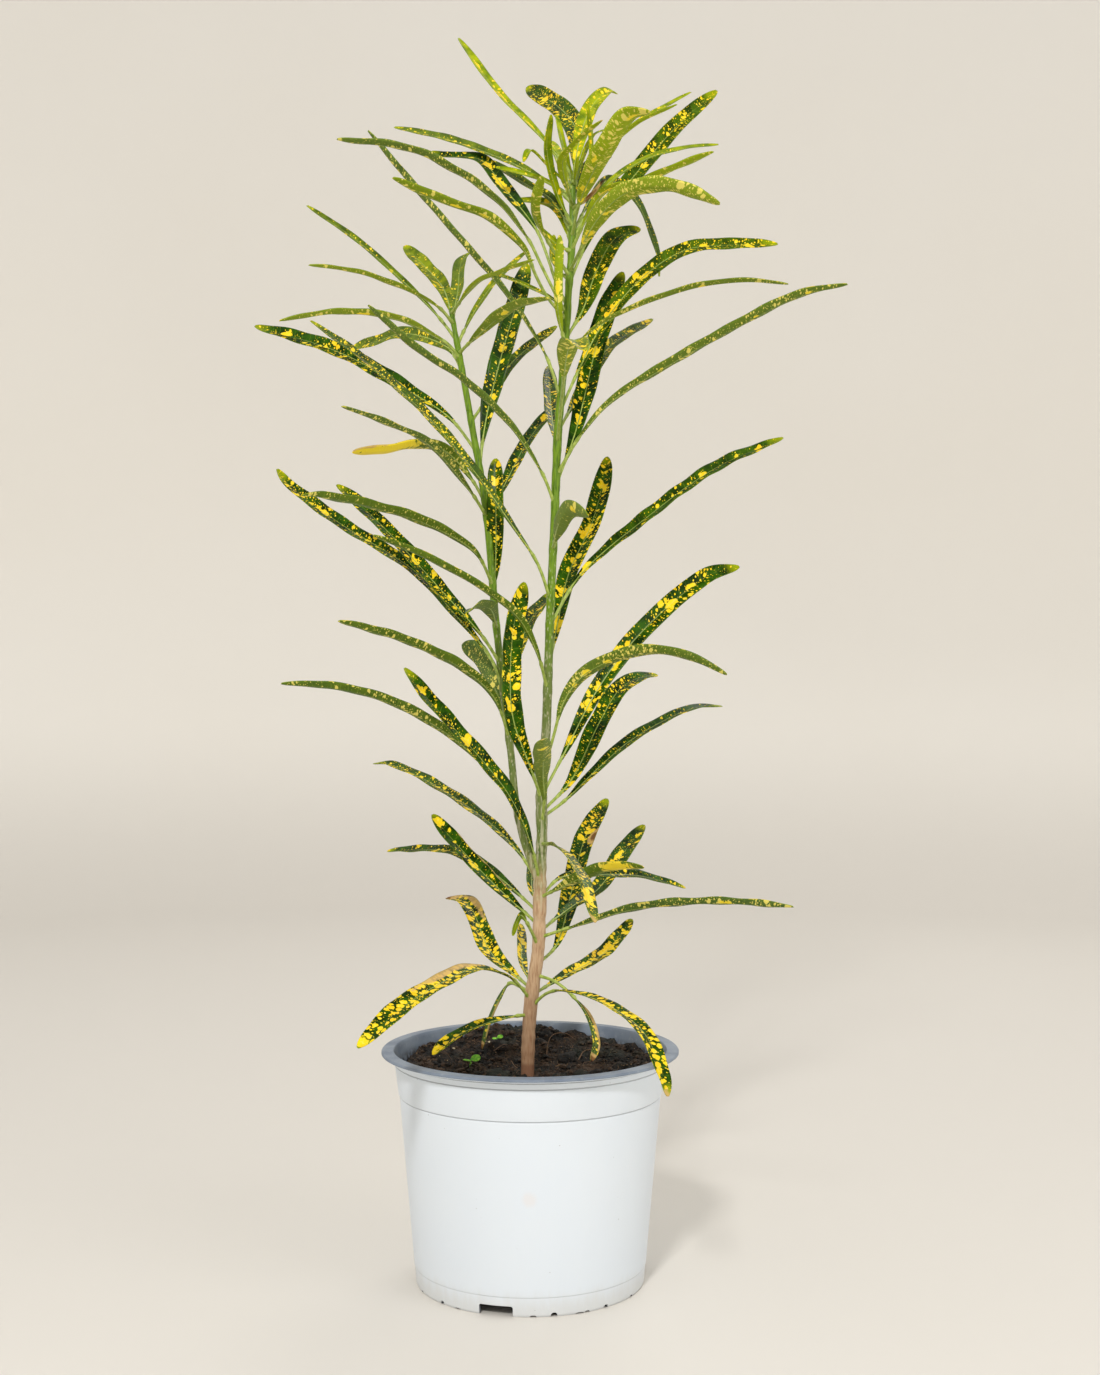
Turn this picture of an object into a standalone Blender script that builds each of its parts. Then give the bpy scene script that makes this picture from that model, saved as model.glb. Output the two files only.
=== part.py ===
"""A potted gold dust croton: a two-stemmed plant of narrow, gold-speckled leaves in a
thin-walled nursery pot. Run it in Blender's text editor, or with
blender --background --python part.py. Metres, +Z up, the pot standing on z = 0."""

import math
from collections import namedtuple

import bmesh
import bpy
from mathutils import Matrix, Vector, noise

MM = 0.001
GAP = 0.0003

# Pot: a turned plastic shell, 1.3 mm thick, with a wide flat rim and a notched foot.
POT_RIM_RADIUS = 0.085
POT_RIM_CREST_RADIUS = 0.0789
POT_HEIGHT = 0.1328
POT_RIM_DROP = 0.0014
POT_LIP_THICKNESS = 0.0024
POT_NECK_RADIUS = 0.0784
POT_RIDGE_HEIGHT = 0.1249
POT_RIDGE_RADIUS = 0.0777
POT_STEP_HEIGHT = 0.1069
POT_STEP_RADIUS = 0.0752
POT_STEP_DEPTH = 0.0006
POT_FOOT_LINE_HEIGHT = 0.011
POT_FOOT_RADIUS = 0.0652
POT_WALL = 0.0013
POT_ROUNDING = 0.0006
POT_FLOOR_UNDERSIDE = 0.0065
POT_FLOOR_THICKNESS = 0.0015
POT_SIDES = 48

# Openings in the pot's foot and floor. Angles are degrees round from the front (-Y).
FOOT_WIDE_NOTCH = (0.019, 0.0058)
FOOT_WIDE_NOTCH_ANGLES = (-16, 104, 224)
FOOT_SMALL_NOTCH = (0.0034, 0.0020)
FOOT_SMALL_NOTCH_ANGLES = (-67, -47, 2, 12, 26, 40, 60, 124, 146, 182, 194, 206, 250)
DRAIN_HOLE_RADIUS = 0.0045
DRAIN_HOLE_CIRCLE = 0.050
DRAIN_HOLES = 8
CUTTER_REACH = 0.012

# Soil: a filling with a lumpy top, lowest round the trunk and highest at the back.
SOIL_AT_TRUNK = 0.1155
SOIL_AT_WALL = 0.1225
SOIL_BACK_RISE = 0.0045
SOIL_MOUND_SPOT = (-0.017, 0.063)
SOIL_MOUND_RADIUS = 0.024
SOIL_MOUND_RISE = 0.006
SOIL_LUMP = 0.0026
SOIL_LUMP_SPACING = 0.011
SOIL_RINGS = (0.012, 0.022, 0.032, 0.042, 0.052, 0.062, 0.070)
SOIL_SIDES = 40
TRUNK_HOLE_FLOOR = 0.076
SEEDLING_HOLE_RADIUS = 0.0011
SEEDLING_SPOT = (-0.0352, 0.004)
SEEDLING_HOLE_DEPTH = 0.008

# The plant was drawn from one viewpoint, a metre in front of it. A point of it is given
# in millimetres: how far across and how high it is seen against the upright plane
# through the pot's axis, and how far it really stands behind (+) or before (-) that plane.
EYE = Vector((0.0113, -1.032, 0.3385))

StemPoint = namedtuple("StemPoint", "across up depth radius")
AXIS_STEM = (
    StemPoint(-2, 80, 0, 3.0),
    StemPoint(-1.6, 116, 0, 3.8),
    StemPoint(-0.8, 143, 0, 3.5),
    StemPoint(1.2, 165, 0, 3.4),
    StemPoint(4.4, 187, 0, 3.3),
    StemPoint(5.3, 209, 0, 3.3),
    StemPoint(5.6, 230, 0, 3.3),
    StemPoint(6.7, 253, -1, 3.0),
    StemPoint(6.4, 280, -1, 2.9),
    StemPoint(9, 313, -2, 2.7),
    StemPoint(10.2, 346, -3, 2.5),
    StemPoint(11.3, 379, -3, 2.4),
    StemPoint(12.5, 406, -3, 2.3),
    StemPoint(14.2, 443, -2, 2.3),
    StemPoint(15.9, 486, -1, 2.3),
    StemPoint(19, 522, 0, 2.2),
    StemPoint(21.6, 561, 1, 2.0),
    StemPoint(24.3, 602, 2, 1.8),
    StemPoint(24.2, 622, 2, 1.5),
    StemPoint(25.7, 637, 2, 1.1),
)
SIDE_STEM = (
    StemPoint(5.3, 225, 0, 2.4),
    StemPoint(1.6, 236, 1, 2.3),
    StemPoint(-3.6, 250.5, 2, 2.2),
    StemPoint(-8.2, 272, 4, 2.2),
    StemPoint(-11, 300, 6, 2.1),
    StemPoint(-15.5, 338, 8, 2.1),
    StemPoint(-19.5, 374, 9, 2.1),
    StemPoint(-22, 404, 10, 2.1),
    StemPoint(-26, 445, 11, 2.0),
    StemPoint(-33, 486, 13, 1.9),
    StemPoint(-38.5, 517, 14, 1.8),
    StemPoint(-42, 536, 14, 1.6),
    StemPoint(-45.6, 556, 15, 1.1),
)
# Heights where the brown trunk turns into the green stems, and these into young crowns.
FORK_TOP = 243.5
MAIN_CROWN_BASE = 546
SIDE_CROWN_BASE = 497
STEM_SIDES_RESOLUTION = 2

# Leaf form, in millimetres unless a share of the leaf's length.
BLADE_THICKNESS = 0.7
MIDRIB_THICKNESS = 0.45
BLADE_FOLD = math.tan(math.radians(17))
PETIOLE_HALF_WIDTH = 1.0
PETIOLE_THICKNESS = 1.7
PETIOLE_SHARE = 0.13
TIP_HALF_WIDTH = 0.6
BLADE_STATION_SPACING = 0.024
BLADE_STATIONS_MOST = 6
TIP_ROUNDING_FROM = 0.72
BASE_TAPER_TO = 0.45
EDGE_WAVE = 0.06
EDGE_WAVES = 2.5

# Leaves, listed from the top down. Each holds its name, the height of its root on the
# stem, the points of its midrib, how far its tip reaches behind (+) or before (-) its
# root, its width, and the side that it shows to the front: 0 for the upper side, 90 for
# its edge, 180 for the underside. A point may hold its own depth as a third number. A leaf
# with a longer stalk than usual ends with the share of its length that the stalk takes up.
Leaf = namedtuple("Leaf", "name root midrib reach width facing petiole", defaults=(PETIOLE_SHARE,))
MAIN_CROWN_LEAVES = (
    Leaf("bud_right", 633, ((29, 641), (31, 648)), -12, 2.6, 60),
    Leaf("lime_spear", 631, ((7, 654), (-18, 680), (-41, 711)), 62, 7.5, 58),
    Leaf("bud_left", 630, ((22, 639), (20, 646)), -16, 2.8, 120),
    Leaf("broad_top", 628, ((26, 658), (17, 671), (-2, 683)), 105, 12.5, 20),
    Leaf("bud_front", 627, ((26, 633), (27, 643)), -26, 2.8, 130),
    Leaf("twin_thread", 626, ((17, 659), (15, 667)), 30, 4.5, 50),
    Leaf("curl", 624, ((10, 638), (0, 647), (-4, 640)), -15, 5, 100),
    Leaf("olive_hook", 623, ((27, 647, 2), (34, 670, 28), (44, 681, 45), (50, 679, 50)), 50, 9.5, 35),
    Leaf("tiny_arch", 622, ((31, 645), (36, 655), (41, 658), (47, 657)), 34, 4, 60),
    Leaf("dark_back", 622, ((18, 640), (12, 652)), 90, 7, 30),
    Leaf("edge_left", 620, ((6, 631), (-13, 641), (-46, 653), (-78, 660)), 72, 8.5, 66),
    Leaf("dark_gloss", 616, ((34, 638), (46, 644)), 58, 8, 30),
    Leaf("lemon_right", 614, ((18, 640), (26, 651), (41, 664)), -70, 6, 120),
    Leaf("brown_scrap", 613, ((30, 617), (37, 623), (42, 629)), -34, 4, 60),
    Leaf("thread_left", 616, ((11, 628), (-6, 634), (-20, 637)), 10, 5, 60),
    Leaf("thread_right", 609, ((43, 646), (62, 663), (92, 680)), 60, 5.5, 68),
    Leaf("fine_right", 608, ((40, 641), (58, 660), (84, 673)), -55, 5, 110),
    Leaf("pale_upright", 605, ((34, 635), (35, 650), (33, 673)), -10, 5, 60),
    Leaf("lemon_upright", 602, ((16, 621), (10, 646), (12, 667)), -32, 6.5, 50),
    Leaf("green_left", 599, ((12, 619), (-3, 628), (-23, 641)), 58, 7.5, 55),
    Leaf("line_right", 595, ((42, 625), (64, 641), (88, 648), (108, 650)), 22, 5.5, 66),
    Leaf("olive_right", 589, ((41, 622), (64, 629), (88, 639), (105, 646)), -68, 7.5, 118),
    Leaf("droop_right", 600, ((44, 629, 48), (61, 618, 75), (73, 588, 90), (74, 574, 92)), 92, 6.5, 60),
    Leaf("olive_short", 592, ((15, 614), (-7, 619)), 45, 7, 45),
    Leaf("olive_scrap", 588, ((13, 595), (6, 602)), -18, 5, 60),
    Leaf(
        "broad_pale", 597,
        ((27, 612, -16), (32, 627, -36), (43, 648, -62), (56, 667, -82), (69, 669, -90)),
        -90, 12, 152, 0.22,
    ),
    Leaf(
        "orange_patch", 557,
        (
            (15, 570, 3), (10, 585, 5), (3, 602, 10), (-16, 627, 25), (-29, 642, 38),
            (-51, 644, 50), (-57, 646, 55),
        ),
        55, 9.5, 40, 0.33,
    ),
    Leaf("lemon_left", 574, ((6, 602, -24), (3, 616, -48), (7, 632, -72)), -72, 5.5, 150, 0.3),
    Leaf("yellow_scrap", 572, ((13, 583), (14, 598)), 24, 5, 50),
    Leaf("long_right", 570, ((38, 605), (60, 633), (84, 661), (107, 681)), 68, 11, 30),
    Leaf(
        "flat_left", 552,
        (
            (14, 565, -4), (7, 579, -8), (-2, 597, -14), (-20, 619, -24), (-46, 637, -34),
            (-71, 648, -42), (-111, 653, -50),
        ),
        -50, 9, 116, 0.28,
    ),
    Leaf("twig", 554, ((12, 562), (-4, 570), (-22, 577)), 45, 4, 60),
    Leaf(
        "gold_left", 549,
        (
            (10, 562, -10), (3, 575, -20), (-4, 591, -32), (-25, 609, -48), (-50, 618, -62),
            (-79, 631, -78),
        ),
        -78, 8.5, 120, 0.3,
    ),
    Leaf(
        "pale_right", 577,
        (
            (28, 588, -20), (35, 602, -42), (46, 616, -62), (60, 625, -78), (82, 626, -90),
            (109, 616, -98),
        ),
        -98, 11, 146, 0.2,
    ),
)

MAIN_STEM_LEAVES = (
    Leaf("right_edge_top", 538, ((30, 555, 10), (38, 578, 28), (49, 597, 46), (63, 602, 56)), 56, 12.5, 15),
    Leaf("lime_hug", 534, ((17, 550, -11), (16, 561, -18), (17, 598, -30)), -30, 5.5, 150),
    Leaf("light_arch", 519, ((31, 540), (51, 553), (92, 568), (123, 572), (148, 570)), -50, 8.5, 105),
    Leaf("thin_left", 504, ((8, 531), (-13, 564), (-36, 591), (-69, 629), (-93, 658)), -30, 7, 118),
    Leaf(
        "gold_arch", 496,
        ((27, 519), (40, 545), (63, 573), (89, 590), (118, 593), (142, 593)),
        50, 10.5, 50,
    ),
    Leaf("dark_short", 485, ((34, 518), (46, 535), (70, 550)), 140, 9.5, 50),
    Leaf(
        "fold_front", 479,
        ((18, 503, -28), (21, 531, -82), (25, 539, -115), (31, 532, -138)),
        -138, 11, 150, 0.4,
    ),
    Leaf("dark_behind", 474, ((12, 500), (11, 523)), 120, 9, 15),
    Leaf(
        "far_right", 460,
        ((30, 485), (46, 503), (77, 523), (123, 549), (154, 564), (182, 570)),
        -88, 9, 120,
    ),
    Leaf("big_spots", 454, ((26, 486), (37, 532), (44, 555), (53, 577)), 58, 12.5, 18),
    Leaf("cross_left", 443, ((6, 463), (-11, 489), (-38, 515), (-65, 533), (-93, 558)), -50, 8, 118),
    Leaf("small_fold", 418, ((17, 432), (23, 441), (33, 438)), -82, 10, 140),
    Leaf(
        "long_left", 388,
        (
            (4, 410, -8), (-11, 433, -15), (-31, 462, -20), (-58, 494, -10), (-94, 526, 10),
            (-126, 549, 28),
        ),
        28, 9, 62,
    ),
    Leaf("right_blade", 374, ((30, 405), (67, 437), (106, 465), (145, 482)), 50, 10.5, 55),
    Leaf("big_centre", 346, ((15, 373), (22, 405), (35, 433), (43, 463), (44, 471)), 100, 12.5, 22),
    Leaf(
        "front_left", 337,
        ((3, 362, -18), (-9, 382, -32), (-39, 403, -48), (-69, 418, -60), (-90, 426, -68)),
        -68, 7.5, 118,
    ),
    Leaf(
        "right_arch", 288,
        (
            (14, 313, -8), (19, 331, -16), (30, 346, -26), (49, 356, -38), (70, 360, -48),
            (92, 356, -56), (113, 346, -62),
        ),
        -62, 10.5, 125, 0.22,
    ),
    Leaf("right_spear", 276, ((20, 302), (38, 337), (63, 370), (100, 402), (120, 408)), 32, 11.5, 26),
    Leaf(
        "centre_left", 274,
        ((-1, 296, -18), (-9, 319, -30), (-11, 340, -32), (-9, 374, -12), (-3, 399, 0)),
        0, 12, 25,
    ),
    Leaf(
        "right_curl", 267,
        ((23, 285, 18), (39, 318, 45), (51, 338, 65), (63, 345, 80), (73, 346, 90)),
        90, 12, 38,
    ),
    Leaf("right_line", 264, ((19, 273), (38, 292), (59, 310), (92, 327), (110, 328)), 112, 9.5, 62),
    Leaf("front_stub", 260, ((8, 274, -12), (7, 287, -26), (7, 299, -72), (7, 309, -122)), -122, 10, 160),
    Leaf(
        "dry_droop", 249,
        ((15, 248, -32), (22, 242, -55), (31, 227, -90), (37, 204, -115)),
        -115, 10, 60,
    ),
)

SIDE_STEM_LEAVES = (
    Leaf("corner", 463, ((-27, 483), (-24, 500), (-16, 532), (-6, 566), (-2, 582)), 42, 12.5, 20),
    Leaf("inner_right", 491, ((-21, 509), (-10, 526), (15, 546)), 105, 8, 45),
    Leaf(
        "left_wide", 474,
        ((-47, 494), (-71, 510), (-102, 528), (-125, 537), (-158, 546)),
        75, 11.5, 50,
    ),
    Leaf("inner_low", 435, ((-16, 453), (-2, 480), (15, 502)), 105, 9.5, 50),
    Leaf("left_thin", 437, ((-37, 455), (-57, 478), (-79, 489), (-108, 500)), -98, 7.5, 112),
    Leaf(
        "left_yellow", 445,
        ((-35, 460, 5), (-49, 475, -2), (-65, 478, -15), (-82, 475, -30), (-102, 474, -50)),
        -50, 9, 120,
    ),
    Leaf(
        "left_flat", 397,
        ((-32, 417), (-59, 433), (-90, 443), (-121, 449), (-131, 449)),
        -98, 9.5, 118,
    ),
    Leaf("facing_up", 389, ((-20, 412, 4), (-20, 446, 2), (-20, 470, 10)), 10, 10, 18),
    Leaf(
        "left_pair", 352,
        ((-29, 370, -5), (-51, 395, -10), (-78, 425, 0), (-103, 449, 18), (-111, 455, 22)),
        22, 10.5, 45,
    ),
    Leaf(
        "left_long", 336,
        (
            (-23, 356, 0), (-44, 382, 5), (-66, 406, 12), (-110, 434, 32), (-139, 456, 50),
            (-145, 464, 55),
        ),
        55, 10.5, 50,
    ),
    Leaf("curl_small", 373, ((-23, 384), (-30, 386), (-36, 382)), -70, 9, 130),
    Leaf("behind_right", 336, ((-10, 354), (0, 378), (11, 393)), 115, 10.5, 40),
    Leaf("left_mid", 310, ((-21, 334), (-40, 351), (-69, 365), (-95, 373), (-110, 377)), -100, 9, 118),
    Leaf(
        "grey_broad", 308,
        ((-14, 322, 8), (-19, 337, 12), (-29, 357, 28), (-39, 363, 40)),
        40, 12.5, 145,
    ),
    Leaf(
        "left_far", 265,
        ((-18, 285, 0), (-45, 311, -15), (-78, 330, -35), (-111, 339, -52), (-143, 341, -65)),
        -65, 9, 118,
    ),
)

SIDE_CROWN_LEAVES = (
    Leaf("pale_fork", 550, ((-42, 566), (-40, 583), (-35, 588)), 48, 9, 40),
    Leaf("lime_broad", 548, ((-50, 568), (-61, 581), (-72, 592)), 102, 9.5, 30),
    Leaf("yellow_line", 547, ((-53, 557), (-71, 567), (-99, 577), (-127, 581)), -60, 6, 112),
    Leaf("green_right", 553, ((-32, 570), (-17, 577), (2, 584)), -70, 5.5, 112),
    Leaf("edge_up", 538, ((-56, 555), (-74, 573), (-99, 595), (-128, 615)), 48, 6, 60),
    Leaf("thin_right", 535, ((-33, 553), (-20, 572), (-2, 589)), 58, 5.5, 60),
    Leaf("arch_right", 530, ((-29, 542), (-10, 557), (11, 562)), -80, 8.5, 125),
    Leaf("flat_yellow", 527, ((-48, 536), (-75, 550), (-109, 554), (-144, 549)), -48, 8, 112),
    Leaf("olive_low", 521, ((-48, 534), (-72, 542), (-90, 537), (-103, 533)), 85, 9, 50),
)

TRUNK_LEAVES = (
    Leaf(
        "left_broad", 227,
        ((-2, 257, -18), (-14, 281, -28), (-39, 311, -35), (-56, 330, -34), (-72, 350, -25)),
        -25, 11.5, 52,
    ),
    Leaf("left_line", 225, ((-7, 245), (-25, 263), (-56, 284), (-80, 295), (-90, 295)), 105, 9.5, 60),
    Leaf("right_tip", 218, ((35, 233), (47, 236), (65, 236)), -72, 9, 120),
    Leaf("right_flat", 218, ((18, 230), (41, 232), (64, 231), (89, 224)), 88, 9, 62),
    Leaf("left_gloss", 202, ((-10, 216), (-29, 235), (-48, 256), (-56, 266)), 52, 10.5, 38),
    Leaf("left_behind", 209, ((-23, 234), (-45, 245), (-70, 246), (-82, 245)), 120, 8.5, 62),
    Leaf("dark_behind_left", 214, ((2, 220), (1, 228), (2, 240)), 50, 8, 30),
    Leaf("right_short", 198, ((23, 213), (39, 224), (53, 244), (65, 260)), 122, 12, 35),
    Leaf("right_low_line", 195, ((23, 201), (58, 212), (105, 216), (151, 213)), -70, 9.5, 112),
    Leaf("right_upright", 179, ((15, 191), (23, 220), (31, 252), (44, 275)), 135, 12.5, 22),
    Leaf("left_dry", 165, ((-11, 176), (-23, 188), (-36, 216), (-48, 218)), 110, 12, 28),
    Leaf("front_right", 162, ((20, 174), (41, 186), (53, 199), (58, 206)), 95, 10, 40),
    Leaf(
        "left_droop", 159,
        ((-12, 173, -15), (-32, 178, -40), (-53, 169, -70), (-76, 154, -98), (-99, 132, -120)),
        -120, 12.5, 42,
    ),
    Leaf(
        "over_rim", 155,
        (
            (9, 163, -8), (20, 165, -22), (41, 159, -50), (65, 142, -82), (77, 115, -105),
            (79, 104, -110),
        ),
        -110, 10, 42, 0.16,
    ),
    Leaf("low_left", 151, ((-17, 149), (-33, 144), (-45, 138), (-56, 128)), -34, 9.5, 62),
    Leaf(
        "dry_right", 174,
        ((14, 170, -6), (24, 162, -12), (33, 151, -20), (38, 135, -32), (35, 124, -38)),
        -38, 5, 55, 0.4,
    ),
    Leaf(
        "dry_left", 163,
        (
            (-6, 167, 8), (-12, 169, 14), (-18, 160, 20), (-23, 149, 25), (-26, 139, 29),
            (-28, 131, 32),
        ),
        32, 3.6, 50, 0.3,
    ),
    Leaf("stub_left", 190, ((0, 200, -10), (-5, 208, -18), (-8, 203, -22), (-10, 196, -24)), -24, 4, 40, 0.5),
    Leaf("lemon_behind", 168, ((-4, 179), (-5, 203)), 80, 6.5, 30),
)

SEEDLING_STEM_HEIGHT = 0.0075
SEEDLING_STEM_RADIUS = 0.0007
SEEDLING_LEAVES = ((0.0062, 0.0040, 15), (0.0050, 0.0030, 150), (0.0046, 0.0016, 255))
SEEDLING_LEAF_THICKNESS = 0.0007


def clear_scene():
    for obj in list(bpy.data.objects):
        bpy.data.objects.remove(obj, do_unlink=True)


def new_collection(name, parent=None):
    collection = bpy.data.collections.new(name)
    (parent or bpy.context.scene.collection).children.link(collection)
    return collection


def material(name, colour, roughness, metallic=0.0):
    made = bpy.data.materials.new(name)
    made.use_nodes = True
    shader = made.node_tree.nodes["Principled BSDF"]
    shader.inputs["Base Color"].default_value = (*colour, 1.0)
    shader.inputs["Roughness"].default_value = roughness
    shader.inputs["Metallic"].default_value = metallic
    return made


def object_of(name, mesh, collection, finish=None):
    obj = bpy.data.objects.new(name, mesh)
    collection.objects.link(obj)
    if finish is not None:
        mesh.materials.clear()
        mesh.materials.append(finish)
    return obj


def evaluated_mesh(obj, merge=0.000001):
    """The object's mesh with its modifiers or bevel in it, its doubles merged."""
    bpy.context.view_layer.update()
    mesh = bpy.data.meshes.new_from_object(obj.evaluated_get(bpy.context.evaluated_depsgraph_get()))
    shape = bmesh.new()
    shape.from_mesh(mesh)
    bmesh.ops.remove_doubles(shape, verts=shape.verts, dist=merge)
    bmesh.ops.recalc_face_normals(shape, faces=shape.faces)
    shape.to_mesh(mesh)
    shape.free()
    return mesh


def made_mesh(obj, name, collection, finish=None):
    """A plain mesh object in place of one with modifiers or of a curve."""
    place = obj.matrix_world.copy()
    mesh = evaluated_mesh(obj)
    bpy.data.objects.remove(obj, do_unlink=True)
    made = object_of(name, mesh, collection, finish)
    made.matrix_world = place
    return made


def turned(name, profile, sides, collection):
    """A profile of (radius, height) points, from the axis round to the axis, turned on Z."""
    mesh = bpy.data.meshes.new(name)
    edges = [(i, i + 1) for i in range(len(profile) - 1)]
    mesh.from_pydata([(radius, 0.0, height) for radius, height in profile], edges, [])
    obj = object_of(name, mesh, collection)
    screw = obj.modifiers.new("Turn", "SCREW")
    screw.steps = sides
    screw.render_steps = sides
    screw.use_merge_vertices = True
    screw.merge_threshold = 0.00001
    screw.use_smooth_shade = False
    return obj


def cut_from(obj, cutters, solver="EXACT"):
    cut = obj.modifiers.new("Cut", "BOOLEAN")
    cut.operation = "DIFFERENCE"
    cut.operand_type = "COLLECTION"
    cut.collection = cutters
    cut.solver = solver


def helper(obj):
    obj.hide_render = True
    obj.display_type = "WIRE"
    return obj


def front_angle(degrees):
    """Radians from +X of a direction given in degrees round from the front."""
    return math.radians(degrees - 90)


def pot_radius(height):
    """Outer radius of the pot's wall, which tapers evenly below the step."""
    share = height / POT_STEP_HEIGHT
    return POT_FOOT_RADIUS + (POT_STEP_RADIUS - POT_STEP_DEPTH - POT_FOOT_RADIUS) * share


def pot_profile():
    """The wall's section, from the middle of the floor up the inside and down the outside."""
    floor_top = POT_FLOOR_UNDERSIDE + POT_FLOOR_THICKNESS
    lip_underside = POT_HEIGHT - POT_LIP_THICKNESS
    foot_inner = pot_radius(0) - POT_WALL
    soft = POT_ROUNDING
    return [
        (0, floor_top),
        (pot_radius(floor_top) - POT_WALL, floor_top),
        (pot_radius(POT_STEP_HEIGHT) - POT_WALL, POT_STEP_HEIGHT),
        (POT_NECK_RADIUS - POT_WALL, POT_HEIGHT - 2 * POT_LIP_THICKNESS),
        (POT_NECK_RADIUS - soft, POT_HEIGHT - 2 * soft),
        (POT_RIM_CREST_RADIUS, POT_HEIGHT),
        (POT_RIM_RADIUS - soft, POT_HEIGHT - POT_RIM_DROP * 0.6),
        (POT_RIM_RADIUS, POT_HEIGHT - POT_RIM_DROP),
        (POT_RIM_RADIUS, lip_underside),
        (POT_RIM_RADIUS - 2 * soft, lip_underside - soft),
        (POT_NECK_RADIUS + soft, lip_underside - 2 * soft),
        (POT_NECK_RADIUS, lip_underside - 4 * soft),
        (POT_RIDGE_RADIUS + soft / 3, POT_RIDGE_HEIGHT + soft),
        (POT_RIDGE_RADIUS - soft / 2, POT_RIDGE_HEIGHT),
        (POT_STEP_RADIUS, POT_STEP_HEIGHT + soft),
        (pot_radius(POT_STEP_HEIGHT), POT_STEP_HEIGHT),
        (pot_radius(POT_FOOT_LINE_HEIGHT), POT_FOOT_LINE_HEIGHT),
        (pot_radius(0) + soft, POT_FOOT_LINE_HEIGHT - soft),
        (pot_radius(0), 2 * soft),
        (pot_radius(0) - soft, 0),
        (foot_inner - 2 * soft, 0),
        (foot_inner - soft, POT_FLOOR_UNDERSIDE),
        (0, POT_FLOOR_UNDERSIDE),
    ]


def notch_cutter(name, size, degrees, cutters):
    width, height = size
    angle = front_angle(degrees)
    bpy.ops.mesh.primitive_cube_add(size=1)
    cutter = bpy.context.object
    cutter.name = name
    cutter.data.transform(Matrix.Diagonal((CUTTER_REACH, width, 2 * height, 1)))
    cutter.location = (math.cos(angle) * POT_FOOT_RADIUS, math.sin(angle) * POT_FOOT_RADIUS, 0)
    cutter.rotation_euler.z = angle
    move_to(cutter, cutters)


def move_to(obj, collection):
    for holder in list(obj.users_collection):
        holder.objects.unlink(obj)
    collection.objects.link(obj)
    helper(obj)


def cylinder_cutter(name, radius, sides, middle, depth, cutters):
    bpy.ops.mesh.primitive_cylinder_add(vertices=sides, radius=radius, depth=depth, location=middle)
    cutter = bpy.context.object
    cutter.name = name
    move_to(cutter, cutters)


def build_pot(collection, cutter_store):
    """The shell with its rim, step, raised floor, foot notches and drain holes."""
    cutters = new_collection("pot_cutters", cutter_store)
    for degrees in FOOT_WIDE_NOTCH_ANGLES:
        notch_cutter(f"wide_notch_{degrees}", FOOT_WIDE_NOTCH, degrees, cutters)
    for degrees in FOOT_SMALL_NOTCH_ANGLES:
        notch_cutter(f"small_notch_{degrees}", FOOT_SMALL_NOTCH, degrees, cutters)
    for i in range(DRAIN_HOLES):
        angle = math.tau * (i + 0.5) / DRAIN_HOLES
        spot = (math.cos(angle) * DRAIN_HOLE_CIRCLE, math.sin(angle) * DRAIN_HOLE_CIRCLE)
        middle = (*spot, POT_FLOOR_UNDERSIDE + POT_FLOOR_THICKNESS / 2)
        cylinder_cutter(f"drain_{i}", DRAIN_HOLE_RADIUS, 12, middle, 4 * POT_FLOOR_THICKNESS, cutters)
    pot = turned("pot_turned", pot_profile(), POT_SIDES, collection)
    cut_from(pot, cutters)
    white = material("pot_white_plastic", (0.72, 0.75, 0.80), 0.42)
    pot = made_mesh(pot, "pot", collection, white)
    pot.data.shade_smooth()
    pot.data.set_sharp_from_angle(angle=math.radians(28))


def soil_height(x, y):
    """Height of the soil's top: a shallow dish, raised at the back, with seeded lumps."""
    out = min(1.0, math.hypot(x, y) / SOIL_RINGS[-1])
    dish = SOIL_AT_TRUNK + (SOIL_AT_WALL - SOIL_AT_TRUNK) * out ** 1.6
    back = SOIL_BACK_RISE * out * max(0.0, y / SOIL_RINGS[-1])
    away = math.dist((x, y), SOIL_MOUND_SPOT) / SOIL_MOUND_RADIUS
    mound = SOIL_MOUND_RISE * math.exp(-(away ** 2))
    lump = noise.noise(Vector((x, y, 0.7)) / SOIL_LUMP_SPACING) * SOIL_LUMP
    return dish + back + mound + lump * min(1.0, out * 3)


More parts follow.
